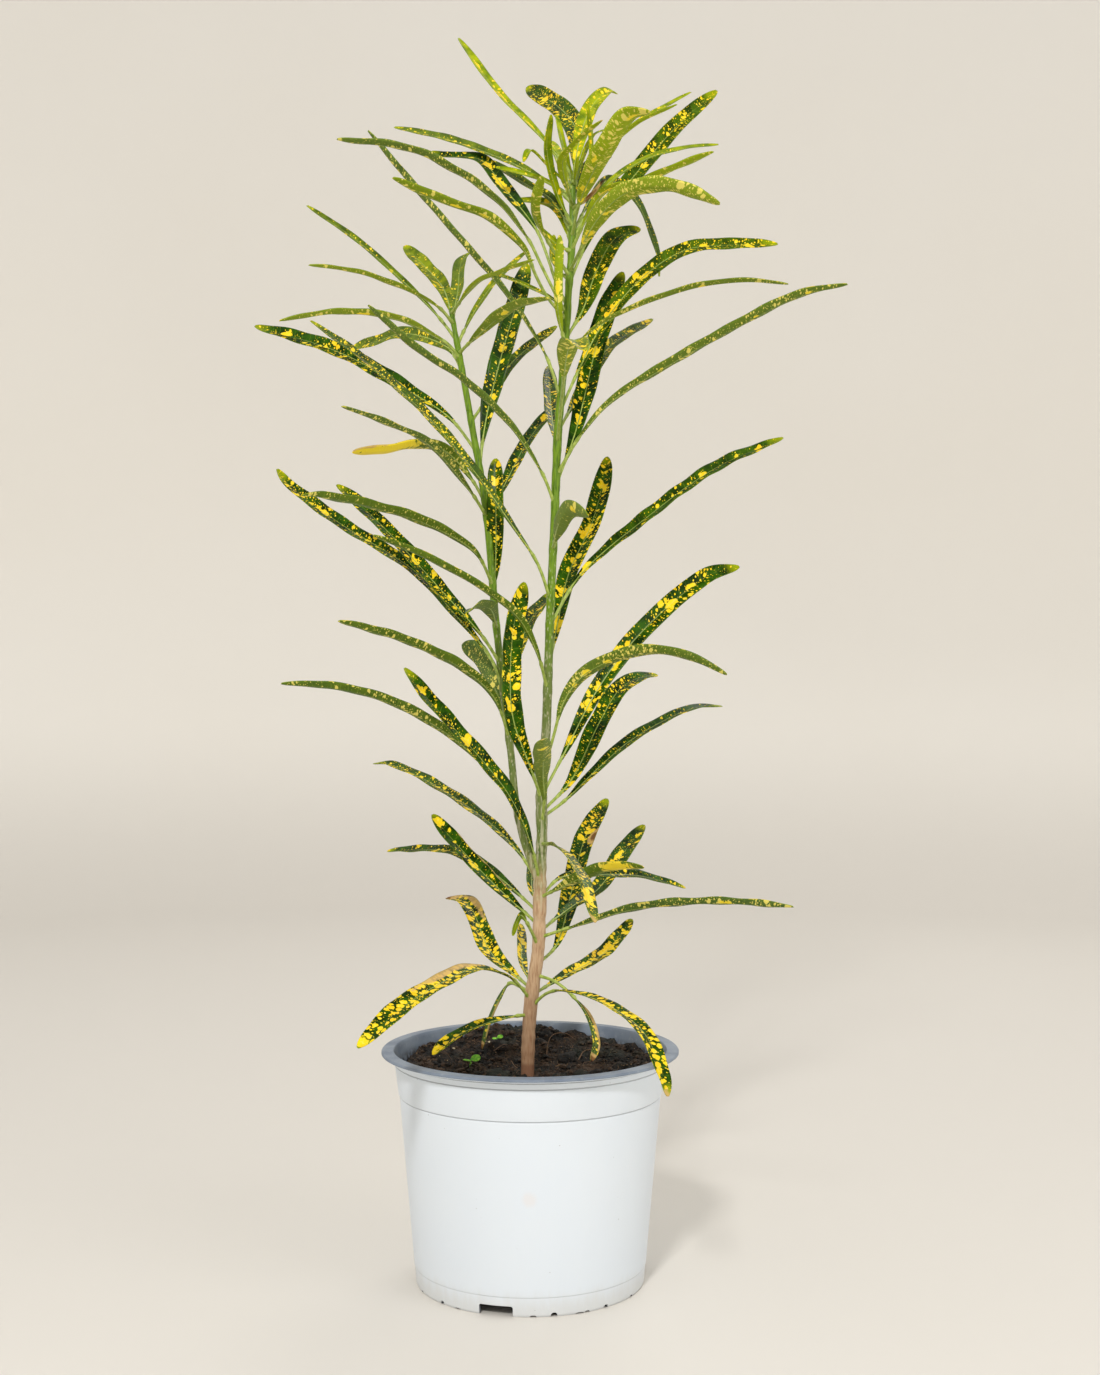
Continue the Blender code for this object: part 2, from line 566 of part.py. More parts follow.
def build_soil(collection, cutter_store):
    """The filling, clear of the pot's wall and floor, with plain holes for what grows in it."""
    low = POT_FLOOR_UNDERSIDE + POT_FLOOR_THICKNESS + GAP
    low_radius = pot_radius(low) - POT_WALL - GAP * 1.3
    rim_radius = pot_radius(POT_STEP_HEIGHT) - POT_WALL - GAP * 1.3
    top = [(radius, SOIL_AT_WALL) for radius in SOIL_RINGS]
    outer = [(rim_radius, SOIL_AT_WALL), (rim_radius, POT_STEP_HEIGHT - 0.001), (low_radius, low)]
    profile = [(0, SOIL_AT_WALL), *top, *outer, (0, low)]
    soil = turned("soil_turned", profile, SOIL_SIDES, collection)
    mesh = evaluated_mesh(soil)
    bpy.data.objects.remove(soil, do_unlink=True)
    for vertex in mesh.vertices:
        if vertex.co.z > POT_STEP_HEIGHT:
            vertex.co.z = soil_height(vertex.co.x, vertex.co.y)
    soil = object_of("soil_top", mesh, collection)
    cutters = new_collection("soil_cutters", cutter_store)
    foot = AXIS_STEM[1]
    hole_radius = (foot.radius + 0.25) * MM + GAP
    top_of_hole = POT_HEIGHT + CUTTER_REACH
    middle = (foot.across * MM, 0, (TRUNK_HOLE_FLOOR + top_of_hole) / 2)
    cylinder_cutter("trunk_hole", hole_radius, 16, middle, top_of_hole - TRUNK_HOLE_FLOOR, cutters)
    floor = soil_height(*SEEDLING_SPOT) - SEEDLING_HOLE_DEPTH
    middle = (*SEEDLING_SPOT, (floor + top_of_hole) / 2)
    cylinder_cutter("seedling_hole", SEEDLING_HOLE_RADIUS, 8, middle, top_of_hole - floor, cutters)
    cut_from(soil, cutters)
    made_mesh(soil, "soil", collection, material("potting_soil", (0.035, 0.026, 0.022), 0.95))


def sight(across, up, depth):
    """The real place, in metres, of a point seen across and up, and standing at depth."""
    flat = Vector((across * MM, 0, up * MM))
    return EYE + (flat - EYE) * ((depth * MM - EYE.y) / -EYE.y)


def stem_at(stem, height):
    """The stem's point at a height: a StemPoint worked out between its neighbours."""
    for low, high in zip(stem, stem[1:]):
        if height <= high.up:
            break
    share = (height - low.up) / (high.up - low.up)
    return StemPoint(*(a + (b - a) * share for a, b in zip(low, high)))


def stem_run(stem, low, high):
    """The stretch of a stem between two heights, ends included."""
    inner = [point for point in stem if low < point.up < high]
    return [stem_at(stem, low), *inner, stem_at(stem, high)]


def stem_tube(name, points, collection):
    """A tapered tube through stem points, as a closed mesh."""
    curve = bpy.data.curves.new(name, "CURVE")
    curve.dimensions = "3D"
    curve.bevel_depth = MM
    curve.bevel_resolution = STEM_SIDES_RESOLUTION
    curve.use_fill_caps = True
    spline = curve.splines.new("POLY")
    spline.points.add(len(points) - 1)
    for spot, point in zip(spline.points, points):
        spot.co = (*sight(point.across, point.up, point.depth), 1)
        spot.radius = point.radius
    tube = bpy.data.objects.new(name, curve)
    collection.objects.link(tube)
    return made_mesh(tube, name, collection)


def smooth_through(points, share):
    """A point on the smooth curve through points, at a share of its length."""
    steps = [(b - a).length for a, b in zip(points, points[1:])]
    along = share * sum(steps)
    i = 0
    while i < len(steps) - 1 and along > steps[i]:
        along -= steps[i]
        i += 1
    t = along / steps[i]
    before = points[i - 1] if i else points[0] * 2 - points[1]
    after = points[i + 2] if i + 2 < len(points) else points[-1] * 2 - points[-2]
    start, end = points[i], points[i + 1]
    slope_start = (end - before) * (steps[i] / ((end - start).length + (start - before).length))
    slope_end = (after - start) * (steps[i] / ((after - end).length + (end - start).length))
    return (
        start * (2 * t ** 3 - 3 * t ** 2 + 1)
        + slope_start * (t ** 3 - 2 * t ** 2 + t)
        + end * (3 * t ** 2 - 2 * t ** 3)
        + slope_end * (t ** 3 - t ** 2)
    )


def midrib_points(leaf, stem):
    """The midrib's points in space, in metres, from inside the stem to the tip."""
    root = stem_at(stem, leaf.root)
    seen = [(root.across, leaf.root), *((p[0], p[1]) for p in leaf.midrib)]
    lengths = [math.dist(a, b) for a, b in zip(seen, seen[1:])]
    points = [sight(root.across, leaf.root, root.depth)]
    for i, point in enumerate(leaf.midrib):
        share = sum(lengths[: i + 1]) / sum(lengths)
        depth = point[2] if len(point) == 3 else leaf.reach * share
        points.append(sight(point[0], point[1], root.depth * (1 - share) + depth))
    return points


def blade_stations(length):
    """Shares along the blade where it has a section: more on a long leaf, closer at the tip."""
    count = max(3, min(BLADE_STATIONS_MOST, round(length / BLADE_STATION_SPACING)))
    return [math.sin(math.pi / 2 * (i + 0.5) / (count - 0.5)) for i in range(count)]


def blade_half_width(leaf, share):
    """Half the blade's width at a share of its length: tapered base, rounded tip."""
    base = math.sin(math.pi / 2 * min(1.0, share / BASE_TAPER_TO)) ** 0.9
    past = max(0.0, (share - TIP_ROUNDING_FROM) / (1 - TIP_ROUNDING_FROM))
    tip = math.sqrt(max(0.0, 1 - past ** 2.4))
    wave = 1 + EDGE_WAVE * math.sin(math.tau * EDGE_WAVES * share + leaf.root)
    return max(TIP_HALF_WIDTH, leaf.width / 2 * (0.16 + 0.84 * base) * tip * wave)


def upper_side(leaf, tangent, place, seen_sign):
    """The direction that the upper side faces, from the side shown to the front."""
    sight_line = (EYE - place).normalized()
    to_front = (sight_line - tangent * sight_line.dot(tangent)).normalized()
    across = tangent.cross(to_front) * seen_sign
    turn = math.radians(leaf.facing)
    return to_front * math.cos(turn) + across * math.sin(turn)


def leaf_stations(leaf, stem):
    """Places, upward directions and sections along a leaf: petiole first, then blade."""
    points = midrib_points(leaf, stem)
    length = sum((b - a).length for a, b in zip(points, points[1:]))
    blade_shares = blade_stations(length)
    bends = max(1, round(leaf.petiole / PETIOLE_SHARE))
    shares = [leaf.petiole * i / bends for i in range(bends + 1)]
    shares += [leaf.petiole + (1 - leaf.petiole) * share for share in blade_shares]
    places = [smooth_through(points, share) for share in shares]
    tangents = [(b - a).normalized() for a, b in zip(places, places[1:])]
    tangents.append(tangents[-1])
    middle = len(places) // 2
    seen_sign = 1 if places[-1].x < places[0].x else -1
    ups = [None] * len(places)
    ups[middle] = upper_side(leaf, tangents[middle], places[middle], seen_sign)
    for i in range(middle + 1, len(places)):
        ups[i] = tangents[i - 1].rotation_difference(tangents[i]) @ ups[i - 1]
    for i in range(middle - 1, -1, -1):
        ups[i] = tangents[i + 1].rotation_difference(tangents[i]) @ ups[i + 1]
    sections = [(PETIOLE_HALF_WIDTH, PETIOLE_THICKNESS / 2, 0)] * (bends + 1)
    for share in blade_shares:
        half = blade_half_width(leaf, share)
        sections.append((half, BLADE_THICKNESS / 2, half * BLADE_FOLD))
    return places, tangents, ups, sections


def leaf_object(leaf, stem, collection):
    """A closed blade with its petiole: six-sided sections, split alike on both faces."""
    places, tangents, ups, sections = leaf_stations(leaf, stem)
    shape = bmesh.new()
    rings = []
    for place, tangent, up, (half, thick, fold) in zip(places, tangents, ups, sections):
        side = tangent.cross(up)
        rib = MIDRIB_THICKNESS if fold else 0
        rim, keel = fold * 0.45, -fold * 0.55
        corners = ((-half, rim + thick), (0, keel + thick), (half, rim + thick))
        corners += ((half, rim - thick), (0, keel - thick - rib), (-half, rim - thick))
        rings.append([shape.verts.new(place + (side * x + up * z) * MM) for x, z in corners])
    for near, far in zip(rings, rings[1:]):
        for left, right in ((0, 1), (2, 1), (2, 3), (3, 4), (5, 4), (5, 0)):
            shape.faces.new((near[left], near[right], far[right]))
            shape.faces.new((near[left], far[right], far[left]))
    for ring in (rings[0], rings[-1]):
        shape.faces.new((ring[0], ring[1], ring[4], ring[5]))
        shape.faces.new((ring[1], ring[2], ring[3], ring[4]))
    bmesh.ops.triangulate(shape, faces=shape.faces)
    bmesh.ops.recalc_face_normals(shape, faces=shape.faces)
    mesh = bpy.data.meshes.new(leaf.name)
    shape.to_mesh(mesh)
    shape.free()
    return object_of(leaf.name, mesh, collection)


def leafy_stem(name, stem, low, high, leaves, extra_runs, collection, finish):
    """One stem with its leaves and side stubs, joined into one solid."""
    store = new_collection(f"{name}_leaves")
    for leaf in leaves:
        leaf_object(leaf, stem, store)
    for i, run in enumerate(extra_runs):
        stem_tube(f"{name}_stub_{i}", run, store)
    tube = stem_tube(f"{name}_tube", stem_run(stem, low, high), collection)
    join = tube.modifiers.new("Join", "BOOLEAN")
    join.operation = "UNION"
    join.operand_type = "COLLECTION"
    join.collection = store
    join.solver = "MANIFOLD"
    made_mesh(tube, name, collection, finish)
    for obj in list(store.objects):
        bpy.data.objects.remove(obj, do_unlink=True)
    bpy.data.collections.remove(store)


def build_plant(collection):
    """The trunk with its low leaves, then the two green stems and their young crowns."""
    bark = material("croton_bark", (0.36, 0.24, 0.15), 0.75)
    green = material("croton_leaf", (0.06, 0.16, 0.03), 0.35)
    lime = material("croton_young_leaf", (0.30, 0.42, 0.05), 0.38)
    cut = 1000 * GAP
    side_base = stem_run(SIDE_STEM, SIDE_STEM[0].up, FORK_TOP)
    leafy_stem("trunk", AXIS_STEM, AXIS_STEM[0].up, FORK_TOP, TRUNK_LEAVES, [side_base], collection, bark)
    low, high = FORK_TOP + cut, MAIN_CROWN_BASE
    leafy_stem("main_stem", AXIS_STEM, low, high, MAIN_STEM_LEAVES, [], collection, green)
    low, high = MAIN_CROWN_BASE + cut, AXIS_STEM[-1].up
    leafy_stem("main_crown", AXIS_STEM, low, high, MAIN_CROWN_LEAVES, [], collection, lime)
    low, high = FORK_TOP + cut, SIDE_CROWN_BASE
    leafy_stem("side_stem", SIDE_STEM, low, high, SIDE_STEM_LEAVES, [], collection, green)
    low, high = SIDE_CROWN_BASE + cut, SIDE_STEM[-1].up
    leafy_stem("side_crown", SIDE_STEM, low, high, SIDE_CROWN_LEAVES, [], collection, lime)


def build_seedling(collection):
    """A tiny self-sown seedling: a short stem in its hole, with two oval leaves and a narrow one."""
    foot = soil_height(*SEEDLING_SPOT) - SEEDLING_HOLE_DEPTH + GAP * 2
    top = soil_height(*SEEDLING_SPOT) + SEEDLING_STEM_HEIGHT
    bpy.ops.mesh.primitive_cylinder_add(
        vertices=6,
        radius=SEEDLING_STEM_RADIUS,
        depth=top - foot,
        location=(*SEEDLING_SPOT, (top + foot) / 2),
    )
    stem = bpy.context.object
    stem.name = "seedling_tube"
    for holder in list(stem.users_collection):
        holder.objects.unlink(stem)
    collection.objects.link(stem)
    store = new_collection("seedling_leaves")
    for i, (length, width, degrees) in enumerate(SEEDLING_LEAVES):
        angle = math.radians(degrees)
        bpy.ops.mesh.primitive_cylinder_add(vertices=8, radius=0.5, depth=1)
        blade = bpy.context.object
        blade.name = f"seedling_leaf_{i}"
        blade.data.transform(Matrix.Diagonal((length, width, SEEDLING_LEAF_THICKNESS, 1)))
        blade.data.transform(Matrix.Translation((length / 2 - 0.0003, 0, 0)))
        blade.rotation_euler = (0, math.radians(-20), angle)
        blade.location = (*SEEDLING_SPOT, top - 0.0008 - 0.0012 * i)
        for holder in list(blade.users_collection):
            holder.objects.unlink(blade)
        store.objects.link(blade)
    join = stem.modifiers.new("Join", "BOOLEAN")
    join.operation = "UNION"
    join.operand_type = "COLLECTION"
    join.collection = store
    fresh = material("seedling_green", (0.16, 0.34, 0.05), 0.45)
    made_mesh(stem, "seedling", collection, fresh)
    for obj in list(store.objects):
        bpy.data.objects.remove(obj, do_unlink=True)
    bpy.data.collections.remove(store)


def build():
    clear_scene()
    croton = new_collection("gold_dust_croton")
    cutters = new_collection("cutters")
    build_pot(croton, cutters)
    build_soil(croton, cutters)
    build_plant(croton)
    build_seedling(croton)
    for obj in list(bpy.data.objects):
        if obj.hide_render:
            bpy.data.objects.remove(obj, do_unlink=True)


build()
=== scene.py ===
"""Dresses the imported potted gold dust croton: gold-specked leaves with their petioles and
midribs, green stems over a brown trunk, crumbly soil, and a two-coloured nursery pot.
Blender 4.5, metres, +Z up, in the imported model's own frame."""

import math
import random
from collections import namedtuple

import bpy
from mathutils import Euler, Matrix, Vector, noise


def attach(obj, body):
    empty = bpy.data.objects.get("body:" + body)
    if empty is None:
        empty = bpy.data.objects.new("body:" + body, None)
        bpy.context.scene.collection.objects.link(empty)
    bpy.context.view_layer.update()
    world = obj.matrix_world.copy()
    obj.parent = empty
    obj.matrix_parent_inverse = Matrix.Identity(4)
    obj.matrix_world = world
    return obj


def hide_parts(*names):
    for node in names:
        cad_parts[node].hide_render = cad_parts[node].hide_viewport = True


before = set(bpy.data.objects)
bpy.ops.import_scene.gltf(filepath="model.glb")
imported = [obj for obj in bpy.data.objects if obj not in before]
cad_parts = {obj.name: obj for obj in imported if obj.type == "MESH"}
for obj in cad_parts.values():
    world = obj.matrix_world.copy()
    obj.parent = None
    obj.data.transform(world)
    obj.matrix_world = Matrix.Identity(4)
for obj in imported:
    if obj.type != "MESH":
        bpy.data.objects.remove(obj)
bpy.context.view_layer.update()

MM = 0.001
GAP = 0.0003

# The photograph: 1100 x 1375 pixels, taken level from a metre in front of the plant.
EYE = Vector((0.0113, -1.032, 0.3385))
LENS = 47.13
SENSOR = 36

# Pot: a turned plastic shell, 1.3 mm thick, with a wide flat rim and a notched foot.
POT_RIM_RADIUS = 0.085
POT_RIM_CREST_RADIUS = 0.0789
POT_HEIGHT = 0.1328
POT_RIM_DROP = 0.0014
POT_LIP_THICKNESS = 0.0024
POT_NECK_RADIUS = 0.0784
POT_RIDGE_HEIGHT = 0.1249
POT_RIDGE_RADIUS = 0.0777
POT_STEP_HEIGHT = 0.1069
POT_STEP_RADIUS = 0.0752
POT_STEP_DEPTH = 0.0006
POT_FOOT_LINE_HEIGHT = 0.011
POT_FOOT_RADIUS = 0.0652
POT_FOOT_LINE_DEPTH = 0.0003
POT_WALL = 0.0013
POT_ROUNDING = 0.0006
POT_FLOOR_UNDERSIDE = 0.0065
POT_FLOOR_THICKNESS = 0.0015

# Openings in the pot's foot and floor. Angles are degrees round from the front (-Y).
FOOT_WIDE_NOTCH = (0.019, 0.0058)
FOOT_WIDE_NOTCH_ANGLES = (-16, 104, 224)
DRAIN_HOLE_RADIUS = 0.0045
DRAIN_HOLE_CIRCLE = 0.050
DRAIN_HOLES = 8
CUTTER_REACH = 0.012

# Soil: a filling with a lumpy top, lowest round the trunk and highest at the back.
SOIL_AT_TRUNK = 0.1155
SOIL_AT_WALL = 0.1225
SOIL_BACK_RISE = 0.0045
SOIL_MOUND_SPOT = (-0.017, 0.063)
SOIL_MOUND_RADIUS = 0.024
SOIL_MOUND_RISE = 0.006
SOIL_LUMP = 0.0026
SOIL_LUMP_SPACING = 0.011
SOIL_DISH_RADIUS = 0.070
CLOD_SPACING = 0.0052
CLOD_RISE = 0.0018
CRUMB_SPACING = 0.0024
CRUMB_RISE = 0.0013
SEEDLING_SPOT = (-0.0352, 0.004)

# Stems, from the ground up, in millimetres: across and up as seen in the plane of the pot's
# axis, then how far behind it, then the radius.
StemPoint = namedtuple("StemPoint", "across up depth radius")


def stem_through(*rows):
    return tuple(StemPoint(*row) for row in rows)


AXIS_STEM = stem_through(
    (-2, 80, 0, 3.0), (-1.6, 116, 0, 3.8), (-0.8, 143, 0, 3.5), (1.2, 165, 0, 3.4),
    (4.4, 187, 0, 3.3), (5.3, 209, 0, 3.3), (5.6, 230, 0, 3.3), (6.7, 253, -1, 3.0),
    (6.4, 280, -1, 2.9), (9, 313, -2, 2.7), (10.2, 346, -3, 2.5), (11.3, 379, -3, 2.4),
    (12.5, 406, -3, 2.3), (14.2, 443, -2, 2.3), (15.9, 486, -1, 2.3), (19, 522, 0, 2.2),
    (21.6, 561, 1, 2.0), (24.3, 602, 2, 1.8), (24.2, 622, 2, 1.5), (25.7, 637, 2, 1.1),
)
SIDE_STEM = stem_through(
    (5.3, 225, 0, 2.4), (1.6, 236, 1, 2.3), (-3.6, 250.5, 2, 2.2), (-8.2, 272, 4, 2.2),
    (-11, 300, 6, 2.1), (-15.5, 338, 8, 2.1), (-19.5, 374, 9, 2.1), (-22, 404, 10, 2.1),
    (-26, 445, 11, 2.0), (-33, 486, 13, 1.9), (-38.5, 517, 14, 1.8), (-42, 536, 14, 1.6),
    (-45.6, 556, 15, 1.1),
)
# Heights where the brown trunk turns into the green stems, and these into young crowns.
FORK_TOP = 243.5
MAIN_CROWN_BASE = 546
SIDE_CROWN_BASE = 497

# Leaf form, in shares of the leaf's length and width, but for the tip's half width, which is
# in millimetres, and the spacing of its sections, which is in metres.
BLADE_FOLD = math.tan(math.radians(17))
PETIOLE_SHARE = 0.13
TIP_HALF_WIDTH = 0.6
BLADE_STATION_SPACING = 0.024
BLADE_STATIONS_MOST = 6
TIP_ROUNDING_FROM = 0.72
BASE_TAPER_TO = 0.45
EDGE_WAVE = 0.03
EDGE_WAVES = 2.5

# Leaves, listed from the top down. Each holds its name, the height of its root on the
# stem, the points of its midrib, how far its tip reaches behind (+) or before (-) its
# root, its width, and the side that it shows to the front: 0 for the upper side, 90 for
# its edge, 180 for the underside. A point may hold its own depth as a third number. A leaf
# with a longer stalk than usual ends with the share of its length that the stalk takes up.
Leaf = namedtuple("Leaf", "name root midrib reach width facing petiole", defaults=(PETIOLE_SHARE,))
MAIN_CROWN_LEAVES = (
    Leaf("bud_right", 633, ((29, 641), (31, 648)), -12, 2.6, 60),
    Leaf("lime_spear", 631, ((7, 654), (-18, 680), (-41, 711)), 62, 7.5, 58),
    Leaf("bud_left", 630, ((22, 639), (20, 646)), -16, 2.8, 120),
    Leaf("broad_top", 628, ((26, 658), (17, 671), (-2, 683)), 105, 12.5, 20),
    Leaf("bud_front", 627, ((26, 633), (27, 643)), -26, 2.8, 130),
    Leaf("twin_thread", 626, ((17, 659), (15, 667)), 30, 4.5, 50),
    Leaf("curl", 624, ((10, 638), (0, 647), (-4, 640)), -15, 5, 100),
    Leaf(
        "olive_hook", 623, ((27, 647, 2), (34, 670, 28), (44, 681, 45), (50, 679, 50)), 50, 9.5, 35
    ),
    Leaf("tiny_arch", 622, ((31, 645), (36, 655), (41, 658), (47, 657)), 34, 4, 60),
    Leaf("dark_back", 622, ((18, 640), (12, 652)), 90, 7, 30),
    Leaf("edge_left", 620, ((6, 631), (-13, 641), (-46, 653), (-78, 660)), 72, 8.5, 66),
    Leaf("dark_gloss", 616, ((34, 638), (46, 644)), 58, 8, 30),
    Leaf("lemon_right", 614, ((18, 640), (26, 651), (41, 664)), -70, 6, 120),
    Leaf("brown_scrap", 613, ((30, 617), (37, 623), (42, 629)), -34, 4, 60),
    Leaf("thread_left", 616, ((11, 628), (-6, 634), (-20, 637)), 10, 5, 60),
    Leaf("thread_right", 609, ((43, 646), (62, 663), (92, 680)), 60, 5.5, 68),
    Leaf("fine_right", 608, ((40, 641), (58, 660), (84, 673)), -55, 5, 110),
    Leaf("pale_upright", 605, ((34, 635), (35, 650), (33, 673)), -10, 5, 60),
    Leaf("lemon_upright", 602, ((16, 621), (10, 646), (12, 667)), -32, 6.5, 50),
    Leaf("green_left", 599, ((12, 619), (-3, 628), (-23, 641)), 58, 7.5, 55),
    Leaf("line_right", 595, ((42, 625), (64, 641), (88, 648), (108, 650)), 22, 5.5, 66),
    Leaf("olive_right", 589, ((41, 622), (64, 629), (88, 639), (105, 646)), -68, 7.5, 118),
    Leaf(
        "droop_right", 600, ((44, 629, 48), (61, 618, 75), (73, 588, 90), (74, 574, 92)),
        92, 6.5, 60,
    ),
    Leaf("olive_short", 592, ((15, 614), (-7, 619)), 45, 7, 45),
    Leaf("olive_scrap", 588, ((13, 595), (6, 602)), -18, 5, 60),
    Leaf(
        "broad_pale", 597,
        ((27, 612, -16), (32, 627, -36), (43, 648, -62), (56, 667, -82), (69, 669, -90)),
        -90, 12, 152, 0.22,
    ),
    Leaf(
        "orange_patch", 557,
        (
            (15, 570, 3), (10, 585, 5), (3, 602, 10), (-16, 627, 25), (-29, 642, 38),
            (-51, 644, 50), (-57, 646, 55),
        ),
        55, 9.5, 40, 0.33,
    ),
    Leaf("lemon_left", 574, ((6, 602, -24), (3, 616, -48), (7, 632, -72)), -72, 5.5, 150, 0.3),
    Leaf("yellow_scrap", 572, ((13, 583), (14, 598)), 24, 5, 50),
    Leaf("long_right", 570, ((38, 605), (60, 633), (84, 661), (107, 681)), 68, 11, 30),
    Leaf(
        "flat_left", 552,
        (
            (14, 565, -4), (7, 579, -8), (-2, 597, -14), (-20, 619, -24), (-46, 637, -34),
            (-71, 648, -42), (-111, 653, -50),
        ),
        -50, 9, 116, 0.28,
    ),
    Leaf("twig", 554, ((12, 562), (-4, 570), (-22, 577)), 45, 4, 60),
    Leaf(
        "gold_left", 549,
        (
            (10, 562, -10), (3, 575, -20), (-4, 591, -32), (-25, 609, -48), (-50, 618, -62),
            (-79, 631, -78),
        ),
        -78, 8.5, 120, 0.3,
    ),
    Leaf(
        "pale_right", 577,
        (
            (28, 588, -20), (35, 602, -42), (46, 616, -62), (60, 625, -78), (82, 626, -90),
            (109, 616, -98),
        ),
        -98, 11, 146, 0.2,
    ),
)

MAIN_STEM_LEAVES = (
    Leaf(
        "right_edge_top", 538, ((30, 555, 10), (38, 578, 28), (49, 597, 46), (63, 602, 56)),
        56, 12.5, 15,
    ),
    Leaf("lime_hug", 534, ((17, 550, -11), (16, 561, -18), (17, 598, -30)), -30, 5.5, 150),
    Leaf(
        "light_arch", 519, ((31, 540), (51, 553), (92, 568), (123, 572), (148, 570)), -50, 8.5, 105
    ),
    Leaf("thin_left", 504, ((8, 531), (-13, 564), (-36, 591), (-69, 629), (-93, 658)), -30, 7, 118),
    Leaf(
        "gold_arch", 496,
        ((27, 519), (40, 545), (63, 573), (89, 590), (118, 593), (142, 593)),
        50, 10.5, 50,
    ),
    Leaf("dark_short", 485, ((34, 518), (46, 535), (70, 550)), 140, 9.5, 50),
    Leaf(
        "fold_front", 479,
        ((18, 503, -28), (21, 531, -82), (25, 539, -115), (31, 532, -138)),
        -138, 11, 150, 0.4,
    ),
    Leaf("dark_behind", 474, ((12, 500), (11, 523)), 120, 9, 15),
    Leaf(
        "far_right", 460,
        ((30, 485), (46, 503), (77, 523), (123, 549), (154, 564), (182, 570)),
        -88, 9, 120,
    ),
    Leaf("big_spots", 454, ((26, 486), (37, 532), (44, 555), (53, 577)), 58, 12.5, 18),
    Leaf(
        "cross_left", 443, ((6, 463), (-11, 489), (-38, 515), (-65, 533), (-93, 558)), -50, 8, 118
    ),
    Leaf("small_fold", 418, ((17, 432), (23, 441), (33, 438)), -82, 10, 140),
    Leaf(
        "long_left", 388,
        (
            (4, 410, -8), (-11, 433, -15), (-31, 462, -20), (-58, 494, -10), (-94, 526, 10),
            (-126, 549, 28),
        ),
        28, 9, 62,
    ),
    Leaf("right_blade", 374, ((30, 405), (67, 437), (106, 465), (145, 482)), 50, 10.5, 55),
    Leaf("big_centre", 346, ((15, 373), (22, 405), (35, 433), (43, 463), (44, 471)), 100, 12.5, 22),
    Leaf(
        "front_left", 337,
        ((3, 362, -18), (-9, 382, -32), (-39, 403, -48), (-69, 418, -60), (-90, 426, -68)),
        -68, 7.5, 118,
    ),
    Leaf(
        "right_arch", 288,
        (
            (14, 313, -8), (19, 331, -16), (30, 346, -26), (49, 356, -38), (70, 360, -48),
            (92, 356, -56), (113, 346, -62),
        ),
        -62, 10.5, 125, 0.22,
    ),
    Leaf(
        "right_spear", 276, ((20, 302), (38, 337), (63, 370), (100, 402), (120, 408)), 32, 11.5, 26
    ),
    Leaf(
        "centre_left", 274,
        ((-1, 296, -18), (-9, 319, -30), (-11, 340, -32), (-9, 374, -12), (-3, 399, 0)),
        0, 12, 25,
    ),
    Leaf(
        "right_curl", 267,
        ((23, 285, 18), (39, 318, 45), (51, 338, 65), (63, 345, 80), (73, 346, 90)),
        90, 12, 38,
    ),
    Leaf("right_line", 264, ((19, 273), (38, 292), (59, 310), (92, 327), (110, 328)), 112, 9.5, 62),
    Leaf(
        "front_stub", 260, ((8, 274, -12), (7, 287, -26), (7, 299, -72), (7, 309, -122)),
        -122, 10, 160,
    ),
    Leaf(
        "dry_droop", 249,
        ((15, 248, -32), (22, 242, -55), (31, 227, -90), (37, 204, -115)),
        -115, 10, 60,
    ),
)

SIDE_STEM_LEAVES = (
    Leaf("corner", 463, ((-27, 483), (-24, 500), (-16, 532), (-6, 566), (-2, 582)), 42, 12.5, 20),
    Leaf("inner_right", 491, ((-21, 509), (-10, 526), (15, 546)), 105, 8, 45),
    Leaf(
        "left_wide", 474,
        ((-47, 494), (-71, 510), (-102, 528), (-125, 537), (-158, 546)),
        75, 11.5, 50,
    ),
    Leaf("inner_low", 435, ((-16, 453), (-2, 480), (15, 502)), 105, 9.5, 50),
    Leaf("left_thin", 437, ((-37, 455), (-57, 478), (-79, 489), (-108, 500)), -98, 7.5, 112),
    Leaf(
        "left_yellow", 445,
        ((-35, 460, 5), (-49, 475, -2), (-65, 478, -15), (-82, 475, -30), (-102, 474, -50)),
        -50, 9, 120,
    ),
    Leaf(
        "left_flat", 397,
        ((-32, 417), (-59, 433), (-90, 443), (-121, 449), (-131, 449)),
        -98, 9.5, 118,
    ),
    Leaf("facing_up", 389, ((-20, 412, 4), (-20, 446, 2), (-20, 470, 10)), 10, 10, 18),
    Leaf(
        "left_pair", 352,
        ((-29, 370, -5), (-51, 395, -10), (-78, 425, 0), (-103, 449, 18), (-111, 455, 22)),
        22, 10.5, 45,
    ),
    Leaf(
        "left_long", 336,
        (
            (-23, 356, 0), (-44, 382, 5), (-66, 406, 12), (-110, 434, 32), (-139, 456, 50),
            (-145, 464, 55),
        ),
        55, 10.5, 50,
    ),
    Leaf("curl_small", 373, ((-23, 384), (-30, 386), (-36, 382)), -70, 9, 130),
    Leaf("behind_right", 336, ((-10, 354), (0, 378), (11, 393)), 115, 10.5, 40),
    Leaf(
        "left_mid", 310, ((-21, 334), (-40, 351), (-69, 365), (-95, 373), (-110, 377)), -100, 9, 118
    ),
    Leaf(
        "grey_broad", 308,
        ((-14, 322, 8), (-19, 337, 12), (-29, 357, 28), (-39, 363, 40)),
        40, 12.5, 145,
    ),
    Leaf(
        "left_far", 265,
        ((-18, 285, 0), (-45, 311, -15), (-78, 330, -35), (-111, 339, -52), (-143, 341, -65)),
        -65, 9, 118,
    ),
)

